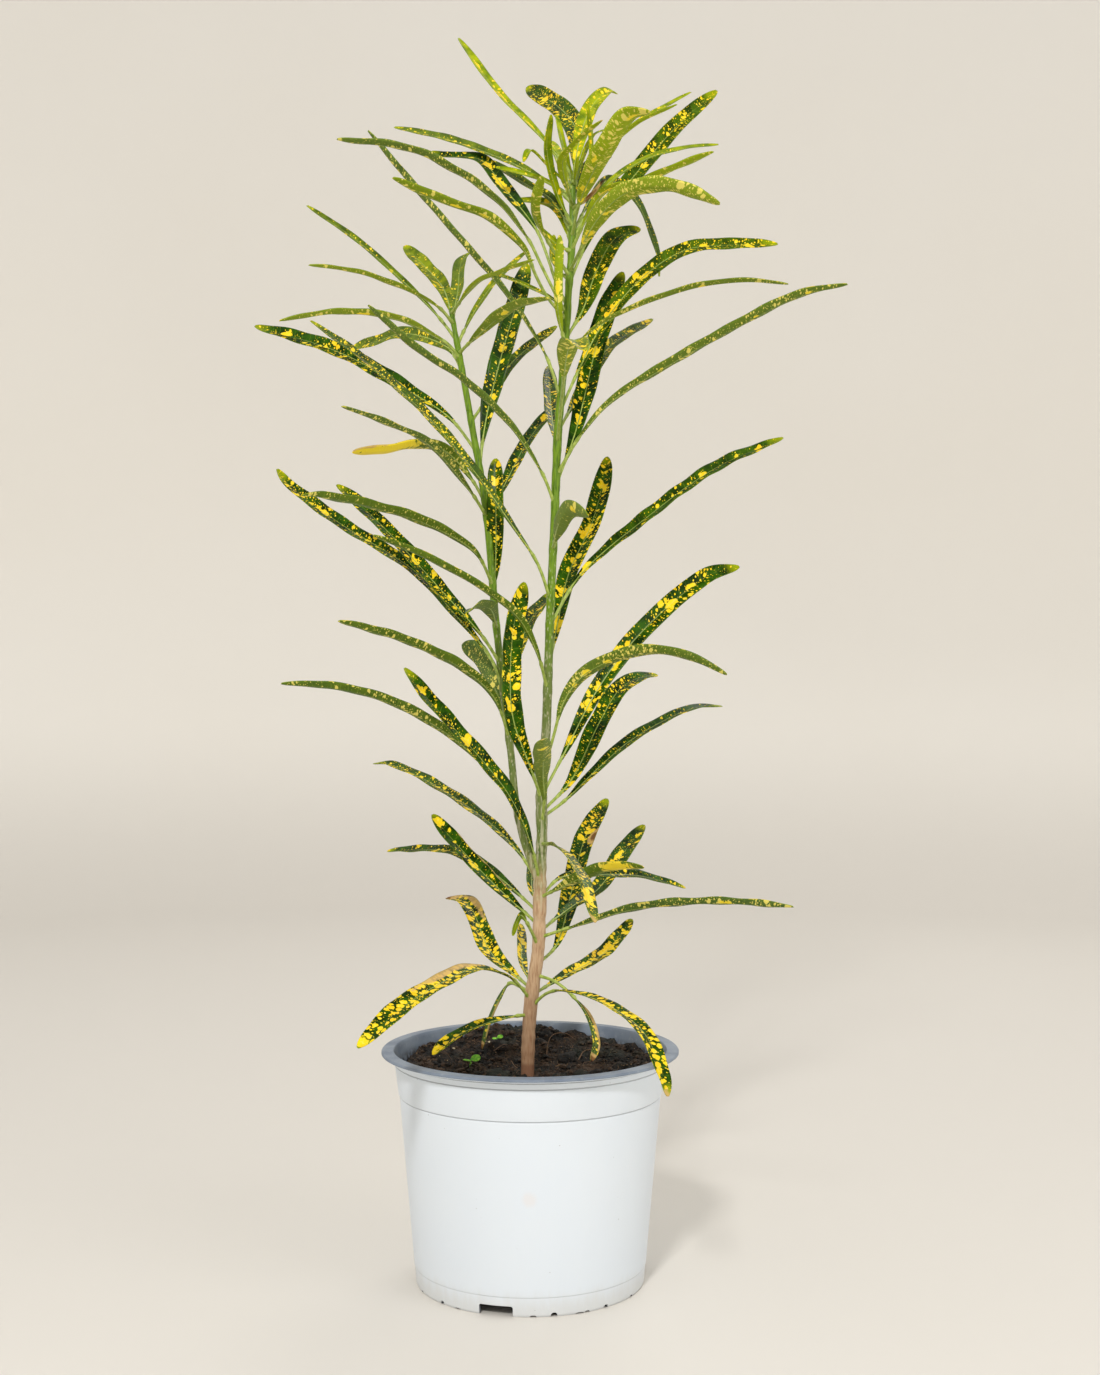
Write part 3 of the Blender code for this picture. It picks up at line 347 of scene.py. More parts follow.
SIDE_CROWN_LEAVES = (
    Leaf("pale_fork", 550, ((-42, 566), (-40, 583), (-35, 588)), 48, 9, 40),
    Leaf("lime_broad", 548, ((-50, 568), (-61, 581), (-72, 592)), 102, 9.5, 30),
    Leaf("yellow_line", 547, ((-53, 557), (-71, 567), (-99, 577), (-127, 581)), -60, 6, 112),
    Leaf("green_right", 553, ((-32, 570), (-17, 577), (2, 584)), -70, 5.5, 112),
    Leaf("edge_up", 538, ((-56, 555), (-74, 573), (-99, 595), (-128, 615)), 48, 6, 60),
    Leaf("thin_right", 535, ((-33, 553), (-20, 572), (-2, 589)), 58, 5.5, 60),
    Leaf("arch_right", 530, ((-29, 542), (-10, 557), (11, 562)), -80, 8.5, 125),
    Leaf("flat_yellow", 527, ((-48, 536), (-75, 550), (-109, 554), (-144, 549)), -48, 8, 112),
    Leaf("olive_low", 521, ((-48, 534), (-72, 542), (-90, 537), (-103, 533)), 85, 9, 50),
)

TRUNK_LEAVES = (
    Leaf(
        "left_broad", 227,
        ((-2, 257, -18), (-14, 281, -28), (-39, 311, -35), (-56, 330, -34), (-72, 350, -25)),
        -25, 11.5, 52,
    ),
    Leaf(
        "left_line", 225, ((-7, 245), (-25, 263), (-56, 284), (-80, 295), (-90, 295)), 105, 9.5, 60
    ),
    Leaf("right_tip", 218, ((35, 233), (47, 236), (65, 236)), -72, 9, 120),
    Leaf("right_flat", 218, ((18, 230), (41, 232), (64, 231), (89, 224)), 88, 9, 62),
    Leaf("left_gloss", 202, ((-10, 216), (-29, 235), (-48, 256), (-56, 266)), 52, 10.5, 38),
    Leaf("left_behind", 209, ((-23, 234), (-45, 245), (-70, 246), (-82, 245)), 120, 8.5, 62),
    Leaf("dark_behind_left", 214, ((2, 220), (1, 228), (2, 240)), 50, 8, 30),
    Leaf("right_short", 198, ((23, 213), (39, 224), (53, 244), (65, 260)), 122, 12, 35),
    Leaf("right_low_line", 195, ((23, 201), (58, 212), (105, 216), (151, 213)), -70, 9.5, 112),
    Leaf("right_upright", 179, ((15, 191), (23, 220), (31, 252), (44, 275)), 135, 12.5, 22),
    Leaf("left_dry", 165, ((-11, 176), (-23, 188), (-36, 216), (-48, 218)), 110, 12, 28),
    Leaf("front_right", 162, ((20, 174), (41, 186), (53, 199), (58, 206)), 95, 10, 40),
    Leaf(
        "left_droop", 159,
        ((-12, 173, -15), (-32, 178, -40), (-53, 169, -70), (-76, 154, -98), (-99, 132, -120)),
        -120, 12.5, 42,
    ),
    Leaf(
        "over_rim", 155,
        (
            (9, 163, -8), (20, 165, -22), (41, 159, -50), (65, 142, -82), (77, 115, -105),
            (79, 104, -110),
        ),
        -110, 10, 42, 0.16,
    ),
    Leaf("low_left", 151, ((-17, 149), (-33, 144), (-45, 138), (-56, 128)), -34, 9.5, 62),
    Leaf(
        "dry_right", 174,
        ((14, 170, -6), (24, 162, -12), (33, 151, -20), (38, 135, -32), (35, 124, -38)),
        -38, 5, 55, 0.4,
    ),
    Leaf(
        "dry_left", 163,
        (
            (-6, 167, 8), (-12, 169, 14), (-18, 160, 20), (-23, 149, 25), (-26, 139, 29),
            (-28, 131, 32),
        ),
        32, 3.6, 50, 0.3,
    ),
    Leaf(
        "stub_left", 190, ((0, 200, -10), (-5, 208, -18), (-8, 203, -22), (-10, 196, -24)),
        -24, 4, 40, 0.5,
    ),
    Leaf("lemon_behind", 168, ((-4, 179), (-5, 203)), 80, 6.5, 30),
)


# How a leaf is coloured. Shares run from 0 to 1: young is lime against dark green, gold and
# dust how much of it the large and the fine gold marks take up, dry how far its tip and
# edges have browned, and pale how washed out its green is. A patch or a brown place is
# (share along the blade, share across it, length in mm, width in mm), and a brown place may
# end with its depth: 0.55 stays tan.
Look = namedtuple("Look", "young gold dust dry pale patches browns", defaults=(0, 0, 0, (), ()))

# Each leafy node's usual look, at its lowest leaf and at its highest.
USUAL_LOOKS = {
    "trunk": (Look(0.04, 0.60, 0.42, 0.15, 0.05), Look(0.06, 0.46, 0.45, 0.05, 0.10)),
    "main_stem": (Look(0.05, 0.44, 0.50), Look(0.18, 0.36, 0.50)),
    "side_stem": (Look(0.05, 0.42, 0.50), Look(0.14, 0.38, 0.50)),
    "main_crown": (Look(0.42, 0.30, 0.40), Look(0.95, 0.26, 0.22)),
    "side_crown": (Look(0.45, 0.22, 0.30, 0, 0.2), Look(0.75, 0.16, 0.25, 0, 0.2)),
}

LOOKS = {
    "lime_spear": Look(
        0.8, 0.16, 0.12, 0, 0, ((0.28, 0, 15, 2.4), (0.52, 0, 17, 2.2), (0.78, 0, 12, 2))
    ),
    "broad_top": Look(0.08, 0.4, 1.0, 0.05, 0.1, ((0.2, 0.3, 5, 3), (0.3, -0.3, 6, 3))),
    "olive_hook": Look(0.78, 0.4, 0.4, 0.05, 0, ((0.1, 0, 9, 4),)),
    "edge_left": Look(0.35, 0.30, 0.35, 0, 0.2, ((0.55, 0, 8, 2.2),)),
    "dark_gloss": Look(0.2, 0.2, 0.3),
    "green_left": Look(0.22, 0.12, 0.2, 0, 0.1, ((0.2, 0.2, 8, 2.5),)),
    "line_right": Look(0.7, 0.2, 0.2, 0, 0.15),
    "olive_right": Look(0.75, 0.35, 0.35, 0.1, 0, ((0.3, 0, 12, 3), (0.62, 0.1, 9, 2.5))),
    "droop_right": Look(0.12, 0.12, 0.35, 0, 0.45),
    "bud_right": Look(1, 0, 0.1),
    "bud_left": Look(1, 0.1, 0.1),
    "bud_front": Look(0.9, 0, 0.1),
    "brown_scrap": Look(0.3, 0.1, 0.2, 0.9, 0.2, (), ((0.5, 0, 24, 7, 0.8),)),
    "broad_pale": Look(
        0.7, 0.5, 0.85, 0, 0.05,
        (
            (0.05, 0.2, 6, 4), (0.16, -0.2, 8, 4.5), (0.25, 0.4, 6, 3),
            (0.44, -0.4, 8, 3), (0.86, 0.3, 13, 3.5),
        ),
    ),
    "orange_patch": Look(
        0, 0.05, 0.14, 0.05, 0.1,
        ((0.22, 0.1, 6, 4), (0.40, 0, 17, 6.5), (0.58, 0, 9, 6), (0.70, 0.2, 5, 3)),
    ),
    "long_right": Look(
        0.12, 0.34, 0.6, 0, 0, ((0.13, 0.1, 9, 5), (0.5, -0.2, 7, 4.5), (0.8, 0.2, 5, 4))
    ),
    "flat_left": Look(0.2, 0.22, 0.5, 0, 0.45),
    "gold_left": Look(
        0.4, 0.5, 0.5, 0, 0,
        ((0.22, 0, 9, 3), (0.42, 0, 8, 2.8), (0.60, 0, 11, 3), (0.80, 0, 6, 2)),
    ),
    "pale_right": Look(
        0.55, 0.42, 0.95, 0, 0.2, ((0.12, 0.2, 8, 5), (0.3, 0.4, 6, 3), (0.05, -0.4, 7, 3))
    ),
    "right_edge_top": Look(0.12, 0.3, 0.6),
    "lime_hug": Look(0.6, 0.45, 0.4, 0, 0, ((0.5, 0, 12, 3),)),
    "light_arch": Look(0.35, 0.34, 0.6, 0, 0.25, ((0.3, 0, 5, 3), (0.62, 0, 7, 3))),
    "gold_arch": Look(
        0.14, 0.40, 0.55, 0, 0,
        ((0.1, 0, 8, 4), (0.3, 0.1, 12, 4.5), (0.46, 0, 10, 4), (0.72, 0.1, 7, 4)),
    ),
    "fold_front": Look(0.5, 0.5, 0.6, 0.1, 0.3, ((0.3, 0.2, 6, 3),)),
    "small_fold": Look(0.3, 0.12, 0.3, 0.2, 0.6, ((0.75, 0, 7, 6),)),
    "front_stub": Look(0.3, 0.12, 0.35, 0.25, 0.5, ((0.8, 0, 7, 5),)),
    "big_spots": Look(
        0.03, 0.24, 0.3, 0, 0,
        ((0.2, 0, 7, 5), (0.38, 0.2, 5, 5), (0.56, 0, 8, 9), (0.78, 0.2, 7, 5), (0.88, -0.2, 6, 5)),
    ),
    "corner": Look(
        0, 0.16, 0.4, 0, 0.1, ((0.25, -0.3, 6, 4), (0.52, 0.1, 6, 5), (0.7, -0.3, 4, 3))
    ),
    "inner_low": Look(0.03, 0.2, 0.35, 0, 0, ((0.84, 0, 12, 6.5), (0.4, 0.1, 5, 3))),
    "dark_behind": Look(0.04, 0.2, 0.6),
    "cross_left": Look(0.1, 0.26, 0.7, 0, 0.35),
    "thin_left": Look(0.1, 0.22, 0.7, 0, 0.45),
    "far_right": Look(
        0.15, 0.34, 0.7, 0, 0.2,
        ((0.35, 0, 6, 3), (0.55, 0.4, 4, 2.5), (0.7, 0, 5, 3), (0.88, 0, 6, 3)),
    ),
    "long_left": Look(0.12, 0.32, 0.8, 0, 0.3),
    "right_blade": Look(
        0.08, 0.22, 0.32, 0, 0, ((0.1, 0.1, 12, 4), (0.66, 0.2, 8, 4), (0.9, 0, 5, 3))
    ),
    "big_centre": Look(
        0.03, 0.5, 0.5, 0, 0,
        (
            (0.1, 0, 12, 9), (0.27, 0.2, 8, 5), (0.46, -0.2, 6, 5),
            (0.6, 0.1, 12, 7), (0.85, 0, 5, 6),
        ),
    ),
    "right_spear": Look(
        0.04, 0.4, 0.5, 0, 0,
        (
            (0.08, 0, 8, 5), (0.22, 0.1, 12, 6), (0.4, -0.2, 9, 5),
            (0.70, 0, 10, 6), (0.8, 0.2, 6, 4),
        ),
    ),
    "right_arch": Look(
        0.12, 0.45, 0.8, 0.1, 0.2, ((0.2, 0.1, 5, 4), (0.3, -0.1, 7, 5), (0.42, 0, 6, 5))
    ),
    "centre_left": Look(
        0.02, 0.36, 0.55, 0, 0, ((0.36, 0, 8, 6), (0.5, 0.2, 8, 4), (0.72, -0.2, 6, 4))
    ),
    "right_curl": Look(0.03, 0.4, 0.6, 0.1),
    "right_line": Look(0.04, 0.18, 0.4),
    "dry_droop": Look(0.05, 0.7, 0.7, 0.35, 0.4, ((0.82, 0, 18, 10),)),
    "left_yellow": Look(0.1, 0.85, 0.4, 0.1, 0, ((0.84, 0, 92, 30),), ((0.9, 0.9, 30, 1.5, 0.56),)),
    "facing_up": Look(0.08, 0.36, 0.5, 0, 0, ((0.8, 0, 6, 6),)),
    "left_pair": Look(0.05, 0.36, 0.65, 0, 0, ((0.45, 0, 8, 5),)),
    "left_long": Look(0.05, 0.34, 0.65, 0, 0, ((0.25, 0.1, 5, 4), (0.75, 0, 10, 4))),
    "grey_broad": Look(0.05, 0.3, 0.9, 0, 0.7),
    "left_wide": Look(0.05, 0.32, 0.5, 0, 0, ((0.3, 0, 11, 4), (0.86, 0, 9, 5))),
    "left_thin": Look(0.1, 0.4, 0.8, 0.1, 0.4),
    "curl_small": Look(0.1, 0.05, 0.3, 0.1, 0.6),
    "left_broad": Look(0.04, 0.44, 0.55, 0.05, 0, ((0.88, 0, 9, 5), (0.6, 0.2, 8, 4))),
    "left_line": Look(0.06, 0.4, 0.7, 0.1, 0.25),
    "right_tip": Look(0.1, 0.5, 0.4, 0.25, 0, ((0.75, 0, 32, 12),)),
    "right_flat": Look(0.04, 0.4, 0.5),
    "left_gloss": Look(
        0.02, 0.28, 0.4, 0, 0,
        ((0.93, 0.1, 9, 8), (0.5, 0.3, 9, 5), (0.36, -0.5, 5, 3)), ((0.5, -0.95, 46, 1.6, 0.56),),
    ),
    "right_short": Look(0.06, 0.4, 0.4, 0, 0, ((0.7, 0.3, 22, 4), (0.9, -0.3, 8, 4))),
    "right_low_line": Look(0, 0.5, 0.6, 0.05, 0.3, ((0.45, 0.2, 8, 3), (0.72, -0.2, 10, 3))),
    "right_upright": Look(
        0.02, 0.75, 0.5, 0.1, 0, ((0.45, 0.1, 10, 7), (0.1, 0, 12, 5)), ((0.72, -0.9, 17, 7),),
    ),
    "left_dry": Look(0.04, 0.95, 0.6, 0.5, 0, (), ((0.76, -0.7, 28, 4, 0.54),)),
    "front_right": Look(
        0.04, 0.93, 0.5, 0, 0, ((0.12, 0, 14, 4), (0.40, 0, 18, 5), (0.62, 0.2, 14, 5))
    ),
    "left_droop": Look(
        0.04, 0.95, 0.6, 0.1, 0, ((0.97, 0, 9, 9),), ((0.42, -0.8, 60, 4.5, 0.56),),
    ),
    "over_rim": Look(0.04, 0.93, 0.5, 0.3, 0),
    "low_left": Look(0.05, 0.9, 0.5, 0.15, 0, ((0.97, 0, 7, 6),)),
    "dry_right": Look(0.04, 0.5, 0.3, 0.6, 0.4, (), ((0.5, 0.8, 30, 2.5, 0.57),)),
    "dry_left": Look(0.1, 0.3, 0.3, 0.6, 0.7, (), ((0.55, 0.8, 24, 2, 0.57),)),
    "stub_left": Look(0.45, 0, 0.1),
    "lemon_behind": Look(0.05, 0.95, 0.5, 0, 0, ((0.7, 0, 10, 6),)),
    "lemon_right": Look(0.85, 0.2, 0.25, 0.3, 0.1),
    "pale_fork": Look(0.5, 0.08, 0.2, 0, 0.35),
    "lime_broad": Look(0.5, 0.26, 0.3, 0, 0, ((0.15, 0.2, 4, 3), (0.5, 0, 5, 2))),
    "yellow_line": Look(0.6, 0.35, 0.4, 0.1, 0.3),
    "flat_yellow": Look(0.55, 0.4, 0.45, 0.1, 0.3, ((0.5, 0, 14, 3),)),
    "olive_low": Look(0.35, 0.3, 0.45, 0.1, 0.3),
    "arch_right": Look(0.4, 0.35, 0.45, 0.1, 0.3, ((0.5, 0, 8, 4),)),
    "edge_up": Look(0.3, 0.18, 0.3, 0, 0.1),
}


class Paint:
    """One output in a material's node tree. A sum on it adds the tree's Math nodes."""

    def __init__(self, tree, port=None):
        self.tree = tree
        self.port = port

    def node(self, kind, settings=None, sockets=None, out=0):
        """A new node: its settings first, then the values or links of its sockets."""
        made = self.tree.nodes.new(kind)
        for name, value in (settings or {}).items():
            setattr(made, name, value)
        for name, value in (sockets or {}).items():
            if isinstance(value, Paint):
                self.tree.links.new(value.port, made.inputs[name])
            else:
                made.inputs[name].default_value = value
        return Paint(self.tree, made.outputs[out])

    def other(self, out):
        """Another output of the same node."""
        return Paint(self.tree, self.port.node.outputs[out])

    def maths(self, operation, *values):
        return self.node("ShaderNodeMath", {"operation": operation}, dict(enumerate(values)))

    def __add__(self, value):
        return self.maths("ADD", self, value)

    def __radd__(self, value):
        return self.maths("ADD", value, self)

    def __sub__(self, value):
        return self.maths("SUBTRACT", self, value)

    def __rsub__(self, value):
        return self.maths("SUBTRACT", value, self)

    def __mul__(self, value):
        return self.maths("MULTIPLY", self, value)

    def __rmul__(self, value):
        return self.maths("MULTIPLY", value, self)

    def __truediv__(self, value):
        return self.maths("DIVIDE", self, value)

    def most(self, value):
        return self.maths("MAXIMUM", self, value)

    def least(self, value):
        return self.maths("MINIMUM", self, value)

    def size(self):
        return self.maths("ABSOLUTE", self)

    def fraction(self):
        return self.maths("FRACT", self)

    def rise(self, low, high, soft=True):
        """0 below low and 1 above high, smoothly in between."""
        way = {"interpolation_type": "SMOOTHSTEP" if soft else "LINEAR"}
        return self.node("ShaderNodeMapRange", way, {0: self, 1: low, 2: high})

    def part(self, axis):
        return self.node("ShaderNodeSeparateXYZ", sockets={0: self}, out=axis)

    def parts(self):
        x = self.part(0)
        return x, x.other(1), x.other(2)

    def point(self, x, y, z=0.0):
        return self.node("ShaderNodeCombineXYZ", sockets={0: x, 1: y, 2: z})

    def vectors(self, operation, a, b):
        return self.node("ShaderNodeVectorMath", {"operation": operation}, {0: a, 1: b})

    def mix(self, under, top, mask):
        """The colour under, with the colour top over it where the mask is 1."""
        return self.node("ShaderNodeMix", {"data_type": "RGBA"}, {0: mask, 6: under, 7: top}, out=2)

    def here(self):
        """Where a point lies on the object, in metres."""
        return self.node("ShaderNodeTexCoord", out="Object")

    def attribute(self, name):
        return self.node("ShaderNodeAttribute", {"attribute_name": name}, out="Vector")

    def grain(self, place, spacing, detail=2.0, flat=False, out=0):
        """Soft noise whose swells lie that far apart, about 0.5 all over."""
        kind = {"noise_dimensions": "2D" if flat else "3D"}
        sockets = {"Vector": place, "Scale": 1 / spacing, "Detail": detail}
        return self.node("ShaderNodeTexNoise", kind, sockets, out)

    def cells(self, place, spacing, flat=False, out=0):
        """Random cells that far apart."""
        kind = {"voronoi_dimensions": "2D" if flat else "3D"}
        return self.node("ShaderNodeTexVoronoi", kind, {"Vector": place, "Scale": 1 / spacing}, out)


def shade(red, green, blue):
    """A colour from its 0 to 255 levels, as the shaders want it."""
    levels = [level / 255 for level in (red, green, blue)]
    return (*(v / 12.92 if v <= 0.04045 else ((v + 0.055) / 1.055) ** 2.4 for v in levels), 1.0)


def new_finish(name, **fixed):
    """A material with its shader's unvarying values set, and a Paint to draw the rest with."""
    made = bpy.data.materials.new(name)
    made.use_nodes = True
    shader = made.node_tree.nodes["Principled BSDF"]
    for socket, value in fixed.items():
        shader.inputs[socket.replace("_", " ")].default_value = value
    return made, Paint(made.node_tree)


def lay(finish, **layers):
    """Links what varies over the surface to the shader's sockets."""
    shader = finish.node_tree.nodes["Principled BSDF"]
    for socket, paint in layers.items():
        finish.node_tree.links.new(paint.port, shader.inputs[socket.replace("_", " ")])
    return finish


def relief(paint, height, depth, strength=1.0):
    """A bump whose height is in metres times depth."""
    sockets = {"Height": height, "Distance": depth, "Strength": strength}
    return paint.node("ShaderNodeBump", sockets=sockets)


# Colours of the plant.
DEEP_GREEN = shade(15, 42, 1)
MID_GREEN = shade(48, 88, 3)
LIME_DEEP = shade(108, 134, 2)
LIME = shade(180, 190, 6)
WASHED_GREEN = shade(98, 118, 76)
GOLD = shade(252, 218, 34)
GOLD_DEEP = shade(246, 198, 22)
GOLD_PALE = shade(250, 232, 120)
UNDER_GREEN = shade(56, 90, 28)
UNDER_LIME = shade(176, 194, 26)
UNDER_CREAM = shade(238, 224, 112)
UNDER_GOLD = shade(255, 228, 60)
RIB_GREEN = shade(134, 156, 60)
RIB_PALE = shade(184, 198, 104)
VEIN_GREEN = shade(118, 148, 44)
DRY_TAN = shade(206, 170, 108)
DRY_BROWN = shade(126, 88, 52)
DRY_DARK = shade(70, 46, 34)

# The gold marks' cells, the ragged edges and the islands of the patches, and the side veins.
LARGE_MARK_SPACING = 0.0076
MIDDLING_MARK_SPACING = 0.0040
SMALL_MARK_SPACING = 0.0022
SPECK_SPACING = 0.0014
PATCH_FRAY_SPACING = 0.0040
PATCH_ISLAND_SPACING = 0.0034
VEIN_SPACING = 0.0052
VEIN_LEAN = 0.4
# How far the marks of the underside are drawn out along its side veins.
UNDER_DRAWN = 1.25


def spots(place, cell, share, spread, ragged, crisp=0.06):
    """Islands with crisp, ragged outlines, one at most to each cell, on a share of the cells."""
    wobble = place.grain(place, cell * 0.42, 2.0, flat=True, out="Color")
    shift = place.vectors("SUBTRACT", wobble, (0.5, 0.5, 0.5))
    shift = place.vectors("MULTIPLY", shift, (ragged * cell,) * 3)
    islands = place.cells(place.vectors("ADD", place, shift), cell, flat=True, out="Distance")
    chance = islands.other("Color").part(0)
    luck = chance - (1 - share)
    reach = (luck / share.most(0.02)).least(1.0) * (spread * 0.62) + spread * 0.38
    return (reach - islands).rise(0.0, crisp) * luck.rise(0.0, 0.01)


def leaf_places(paint):
    """Where a point lies on its blade: its place in the pattern, its share of the length, its
    metres from the midrib and its share of the way to the margin."""
    run = paint.node("ShaderNodeUVMap", {"uv_map": "blade"}, out="UV")
    along, across, edge = paint.attribute("place").parts()
    return run, along, across, edge


def blade_pattern(paint, drawn=1.0):
    """Gold marks that lean along the side veins, and are drawn out along them where drawn is
    over 1, denser in some stretches than in others."""
    run, along, across, edge = leaf_places(paint)
    young, gold, dust = paint.attribute("tone").parts()
    dry, patch, pale = paint.attribute("wear").parts()
    u, v, _ = run.parts()
    lean = u - across.size() * VEIN_LEAN
    place = paint.point(lean * drawn, v * (1 / drawn))
    crowd = paint.grain(run, 0.020, 1.0, flat=True).rise(0.32, 0.68) * 1.2 + 0.2
    # Where a leaf is nearly all gold, as round a patch, its middling marks all but touch.
    gold = gold.most(patch.rise(0.28, 0.52) * 0.95)
    full = gold.rise(0.78, 0.95)
    large = spots(place, LARGE_MARK_SPACING, gold * crowd * (0.36 - full * 0.2), 0.38, 0.26, 0.05)
    much = gold * crowd.most(full * 1.15) * 0.82
    middling = spots(place, MIDDLING_MARK_SPACING, much, full * 0.15 + 0.42, 0.28, 0.07)
    fine_place = paint.point(lean * (1.1 * drawn), v * (0.9 / drawn))
    small = spots(fine_place, SMALL_MARK_SPACING, dust * crowd * 0.85, 0.36, 0.2, 0.12)
    specks = spots(fine_place, SPECK_SPACING, dust * 0.62, 0.34, 0.2, 0.2)
    frayed = patch + (paint.grain(place, PATCH_FRAY_SPACING, 1.5, flat=True) - 0.5) * 0.34
    painted = frayed.rise(0.60, 0.67)
    islands = spots(place, PATCH_ISLAND_SPACING, painted * 0.16, 0.36, 0.4)
    marks = large.most(middling).most(small).most(specks).most(painted * (1 - islands))
    return marks, (young, dry, patch, pale), (run, along, across, edge, lean)


def side_veins(lean, sway, faded):
    """Lines that run slantwise from the midrib and fade before the margin."""
    between = (lean * (1 / VEIN_SPACING) + sway).fraction()
    return (between - 0.5).size().rise(0.40, 0.5) * (1 - faded)


def withered(paint, skin, brown, full):
    """The skin gone tan where it is a little brown, and all brown from full on."""
    skin = paint.mix(skin, DRY_TAN, brown.rise(0.40, 0.52) * 0.85)
    return paint.mix(skin, DRY_BROWN, brown.rise(0.62, full))


def leaf_top_finish():
    """The upper side: dark green or lime, with gold marks, a pale midrib and dry tips."""
    finish, paint = new_finish(
        "croton_leaf_top", Coat_Weight=0.12, Coat_Roughness=0.24, Specular_IOR_Level=0.03
    )
    marks, (young, dry, _, pale), (run, along, across, edge, lean) = blade_pattern(paint)
    cloud = paint.grain(run, 0.009, 3.0, flat=True)
    green = paint.mix(DEEP_GREEN, MID_GREEN, cloud.rise(0.30, 0.72))
    lime = paint.mix(LIME_DEEP, LIME, cloud.rise(0.3, 0.7))
    flesh = paint.mix(green, lime, young.rise(0.05, 0.95, soft=False))
    flesh = paint.mix(flesh, WASHED_GREEN, pale * 0.75)
    tip = along + (cloud - 0.5) * 0.05
    flesh = paint.mix(flesh, LIME, tip.rise(0.93, 0.99) * 0.6)
    vein = side_veins(lean, cloud * 0.5, edge.rise(0.55, 0.95))
    flesh = paint.mix(flesh, VEIN_GREEN, vein * 0.24)
    deeper = paint.grain(run, 0.012, 1.0, flat=True).rise(0.45, 0.75)
    paler = paint.grain(run, 0.0016, 1.0, flat=True).rise(0.5, 0.75)
    yellow = paint.mix(GOLD, GOLD_DEEP, deeper * 0.75)
    yellow = paint.mix(yellow, GOLD_PALE, paler * 0.35 + pale * 0.3)
    skin = paint.mix(flesh, yellow, marks * 0.96)
    rib = 1 - (across.size() - along * -0.00012).rise(0.00022, 0.00048)
    skin = paint.mix(skin, RIB_PALE, rib * (1 - along.rise(0.55, 0.98)) * 0.52)
    brown = dry + (cloud - 0.5) * 0.5
    skin = withered(paint, skin, brown, 0.78)
    skin = paint.mix(skin, DRY_DARK, brown.rise(0.92, 1.08))
    margin = edge.rise(0.93, 0.99)
    skin = paint.mix(skin, RIB_GREEN, margin * 0.35)
    rough = cloud * 0.12 + 0.34 + brown.rise(0.5, 0.8) * 0.3
    height = vein * -0.35 + paint.grain(run, 0.0012, 2.0, flat=True) * 0.3 + cloud * 0.8
    return lay(finish, Base_Color=skin, Roughness=rough, Normal=relief(paint, height, 0.00022, 0.8))


def leaf_under_finish():
    """The underside: paler, with cream marks drawn out along its veins."""
    finish, paint = new_finish("croton_leaf_underside", Specular_IOR_Level=0.06)
    marks, (young, dry, patch, pale), (run, _, _, edge, lean) = blade_pattern(paint, UNDER_DRAWN)
    cloud = paint.grain(run, 0.007, 3.0, flat=True)
    flesh = paint.mix(UNDER_GREEN, UNDER_LIME, young * 0.9 + cloud * 0.2)
    flesh = paint.mix(flesh, WASHED_GREEN, pale * 0.55 + (1 - young) * 0.1)
    vein = side_veins(lean, cloud * 0.4, edge.rise(0.6, 0.98))
    flesh = paint.mix(flesh, RIB_GREEN, vein * 0.4)
    cream = paint.mix(UNDER_CREAM, UNDER_GOLD, patch.rise(0.4, 0.7))
    skin = paint.mix(flesh, cream, marks * 0.94)
    brown = dry + (cloud - 0.5) * 0.5
    skin = withered(paint, skin, brown, 0.80)
    rough = cloud * 0.15 + 0.42
    height = vein * 0.6 + paint.grain(run, 0.001, 2.0, flat=True) * 0.3
    return lay(finish, Base_Color=skin, Roughness=rough, Normal=relief(paint, height, 0.0002, 0.8))


def rib_finish():
    """Petioles and the raised midribs under the blades."""
    finish, paint = new_finish(
        "croton_petiole", Coat_Weight=0.1, Coat_Roughness=0.25, Specular_IOR_Level=0.25
    )
    run, along, _, _ = leaf_places(paint)
    dry = paint.attribute("wear").part(0)
    streak = paint.grain(paint.point(run.part(0) * 0.25, run.part(1)), 0.0007, 2.0, flat=True)
    green = paint.mix(RIB_GREEN, RIB_PALE, streak.rise(0.25, 0.85))
    green = paint.mix(green, UNDER_GREEN, along.rise(0.1, 0.6) * 0.35)
    brown = dry + (streak - 0.5) * 0.4
    skin = paint.mix(green, DRY_BROWN, brown.rise(0.5, 0.8))
    bumps = relief(paint, streak, 0.0001, 0.6)
    return lay(finish, Base_Color=skin, Roughness=streak * 0.2 + 0.28, Normal=bumps)


# Heights, in metres: the soil's line on what stands in it, and where the stem's skin changes.
SOIL_LINE = 0.1215
BARK_TOP = 0.236
GREY_TOP = 0.375
STEM_GREEN = shade(112, 144, 20)
STEM_DARK_GREEN = shade(58, 92, 8)
STEM_GREY = shade(106, 120, 58)
BARK_TAN = shade(176, 142, 108)
BARK_PINK = shade(200, 170, 136)
BARK_DARK = shade(132, 98, 72)
BARK_LOW = shade(136, 92, 66)
BARK_DAMP = shade(120, 80, 58)
SKIN_DOT = shade(206, 196, 160)
SKIN_CORK = shade(202, 200, 172)
SKIN_FLAKE = shade(196, 190, 160)


